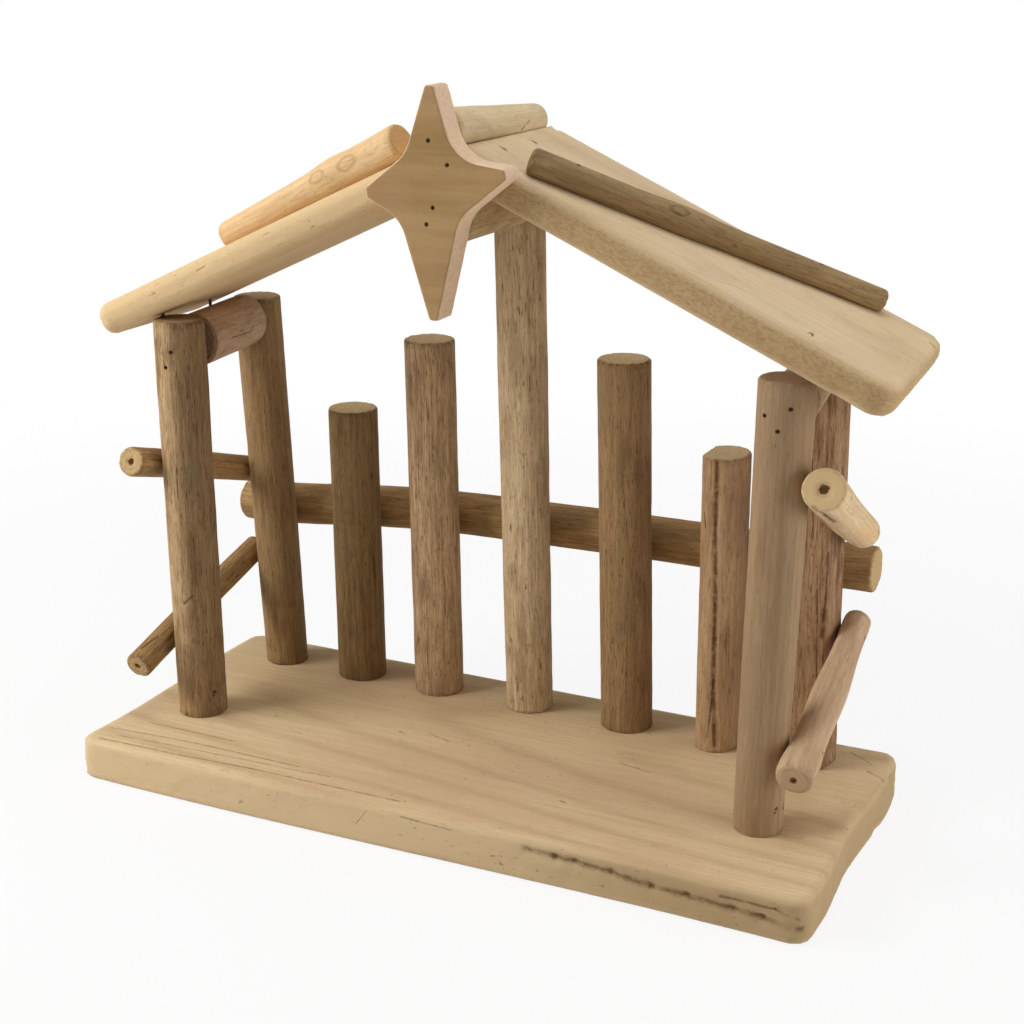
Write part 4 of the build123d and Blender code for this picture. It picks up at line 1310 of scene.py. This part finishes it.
def sawn_relief(seed, face_depth, edge_depth, edge_sway, cracks, chips=()):
    """How deep a sawn board is carved: a little on its faces, more where its edges are chipped."""

    def relief(grain, masks):
        ridges = rough(grain, seed, (0.5, 0.5, 0.03))
        waves = rough(grain, seed + 40, (0.06, 0.06, 0.03))
        bites = rough(grain, seed + 80, (0.16, 0.3, 0.09)) + 0.5 * rough(grain, seed + 81, (0.5, 0.5, 0.25))
        nicks = np.clip(rough(grain, seed + 82, (0.4, 0.4, 0.25)) - 0.5, 0, None)
        sway = 0.5 + 0.5 * rough(grain, seed + 83, (0.04, 0.02, 0.045))
        face = face_depth * (0.5 + 0.25 * ridges + 0.5 * waves)
        edge = edge_depth * (0.4 + 0.45 * bites) + edge_depth * 1.2 * nicks + edge_sway * sway
        depth = face + masks["end"] * np.clip(edge, 0, None)
        for first, last, width in cracks:
            near = np.clip(1 - line_gap(grain, first, last) / (width + board_split_flank), 0, 1)
            depth += board_split_cut * width * near
        for spot, size, bite in chips:
            near = np.clip(1 - np.linalg.norm(grain - spot, axis=1) / size, 0, 1)
            depth += bite * near * (0.7 + 0.6 * bites)
        return depth

    return relief


for node, (axes, depths, slot_name, tones, rings, marks) in boards.items():
    points, faces, edge_mask, origin, half = wrap_board(node, axes)
    cracks = split_lines(node, board_cracks[node], origin, axes)
    finish = sawn_wood(node + "_finish", tones, *rings, *marks, cracks)
    chips = [(in_grain(node, pixel, origin, axes), *sizes) for pixel, *sizes in board_chips[node]]
    relief = sawn_relief(rings[0], *depths, cracks, chips)
    masks = {"end": edge_mask, "rim": np.zeros(len(points))}
    piece = dress(node, points, faces, masks, origin, axes, relief, finish)
    print(node, "half sizes in mm:", np.round(half, 1), "faces:", len(piece.data.polygons))

# %% [markdown]
# The star is sawn from a darker board. Its outline is read by rays that run in to the middle from all round,
# and evenly spaced points are picked on it, so that the tips get no fewer points than the hollows.

# %% Trace the star
star_count, star_ray_count = 540, 4000
star_front, star_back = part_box("star")[0][1] / mm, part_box("star")[1][1] / mm
star_middle = scattered("star").mean(0)
star_middle[1] = (star_front + star_back) / 2

outline = []
for turn in np.linspace(0, 2 * math.pi, star_ray_count, endpoint=False):
    spoke = np.array([math.cos(turn), 0.0, math.sin(turn)])
    outline.append(hit_from(skin_tree("star"), spoke, star_middle))
outline = np.array(outline + outline[:1])
walked = np.concatenate([[0.0], np.cumsum(np.linalg.norm(np.diff(outline, axis=0), axis=1))])
stops = np.linspace(0, walked[-1], star_count, endpoint=False)
outline = np.array([np.interp(stops, walked, outline[:, k]) for k in range(3)]).T
ahead = np.roll(outline, -2, axis=0) - np.roll(outline, 2, axis=0)
inward = np.cross(ahead, (0.0, 1.0, 0.0))
inward /= np.linalg.norm(inward, axis=1)[:, None]
inward *= np.sign(((star_middle - outline) * inward).sum(1).mean())
print("outline of the star in mm:", round(float(walked[-1]), 1))

# %% [markdown]
# Rings of those points shrink to the middle of each face and roll over a rounded rim to the edge. That is the
# same closed grid as a stick's, so the same faces join it.

# %% Wrap the star
star_rim = 0.9
star_edge_shares = (0.0, 0.2, 0.4, 0.6, 0.8, 1.0)
star_face_shares = (0.985, 0.96, 0.92, *np.linspace(0.87, 0.05, 22))


def star_ring(inset, depth):
    """The outline drawn in by inset, at a depth behind the front face."""
    ring = outline + inward * inset
    ring[:, 1] = depth
    return ring


def star_face(depth):
    """Rings from the rim of a face to its middle."""
    ring, heart = star_ring(star_rim, depth), np.array([star_middle[0], depth, star_middle[2]])
    return [heart + (ring - heart) * share for share in star_face_shares]


rolls = [(star_rim * (1 - math.cos(turn)), star_rim * (1 - math.sin(turn))) for turn in rim_turns]
front_roll = [star_ring(inset, star_front + behind) for inset, behind in reversed(rolls)]
back_roll = [star_ring(inset, star_back - behind) for inset, behind in rolls]
edge_width = star_back - star_front - 2 * star_rim
edge_rows = [star_ring(0.0, star_front + star_rim + edge_width * share) for share in star_edge_shares]
star_rows = star_face(star_front)[::-1] + front_roll + edge_rows + back_roll + star_face(star_back)
star_grid = np.array(star_rows[::-1])
star_points = with_poles(star_grid)
star_ends = np.zeros(len(star_grid))
star_edge_start = len(star_face_shares) + len(rim_turns) // 2
star_ends[star_edge_start: len(star_grid) - star_edge_start] = 1.0
print("rows of the star's grid:", len(star_grid))

# %% [markdown]
# The faces of the star are brown, with their grain level, and its edges are left pale from the saw. One faint
# line runs across its upper half where the wood changes.

# %% Finish the star
# The seed of its carving, and in millimetres how deep its faces are carved, its edges chipped and swayed.
star_seed, star_depths = 30, (0.08, 0.12, 0.0)
star_tones = [colour(160, 128, 84), colour(179, 147, 102), colour(184, 148, 108), colour(136, 106, 70)]
star_bump = 0.0002
star_edge_tones = [colour(238, 209, 180), colour(222, 189, 156)]
# A pixel on the level line where the wood changes.
star_line_pixel = (430, 155)
star_axes = np.array([[0.0, 0.0, 1.0], [0.0, -1.0, 0.0], [1.0, 0.0, 0.0]])
star_line_height = float(in_grain("star", star_line_pixel, star_middle, star_axes)[0])


def star_finish():
    """Brown sawn faces, pale edges, and one faint level line where the wood changes."""
    material, shader, start = new_finish("star_finish")
    place = grain_reading(start)
    edge, stain = (reading(start, mask) for mask in ("end", "stain"))
    pores = place.noise((2.4, 2.4, 0.12), 4.0, 0.7)
    fuzz = place.noise((0.8, 0.8, 0.5), 4.0, 0.7)
    streaks = place.noise((0.12, 0.12, 0.012), 3.0)
    patches = place.noise((0.05, 0.05, 0.04), 3.0)
    height_up = place.parts()[0]
    line = (height_up - star_line_height + (patches - 0.5) * 3.0).size().ramp(1.0, 0.2)
    brown, pale, blush, deep = star_tones
    face = streaks.ramp(0.35, 0.65).tint(brown, pale)
    face = (patches.ramp(0.46, 0.62) * 0.4).tint(face, blush)
    face = (pores.ramp(0.5, 0.74) * 0.3 + fuzz.ramp(0.5, 0.75) * 0.22 + line * 0.25).tint(face, deep)
    sides = fuzz.ramp(0.4, 0.75).tint(*star_edge_tones)
    look = edge.tint(face, sides)
    look = (stain * 0.5).tint(look, nail_rust)
    connect(shader, look, pores * 0.2 + 0.64, pores * 0.4 + fuzz * 0.5, star_bump)
    return material


star_masks = {"end": spread(star_ends, star_count, 0.0), "rim": np.zeros(len(star_points))}
star_piece = dress(
    "star", star_points, tube_faces(len(star_grid), star_count), star_masks, star_middle, star_axes,
    sawn_relief(star_seed, *star_depths, ()), star_finish(),
)
print("star faces:", len(star_piece.data.polygons))

# %% [markdown]
# The nails and screws keep their CAD shape, which is a plain shank or a countersunk head. They only need the
# look of dull wire that has been in damp wood.

# %% Finish the nails and screws
# The size of the brown spots in cells per metre, the height of the bumps in metres, and how metallic it is.
spot_cells, steel_bump, steel_metal = (900.0, 900.0, 900.0), 0.00004, 0.5


def dull_steel():
    """Grey wire with brown spots."""
    material, shader, start = new_finish("dull_steel")
    place = start.node("TexCoord", None, None, 3)
    spots = place.noise(spot_cells, 4.0, 0.6)
    look = spots.ramp(0.35, 0.65).tint(colour(96, 84, 74), colour(74, 52, 36))
    connect(shader, look, spots * 0.3 + 0.5, spots, steel_bump)
    shader.inputs["Metallic"].default_value = steel_metal
    return material


steel = dull_steel()
for name in (*nail_nodes, "base_screws"):
    fastener = frame["nodes"][name]
    fastener.data.materials.clear()
    fastener.data.materials.append(steel)
print("fasteners finished:", len(nail_nodes) + 1)
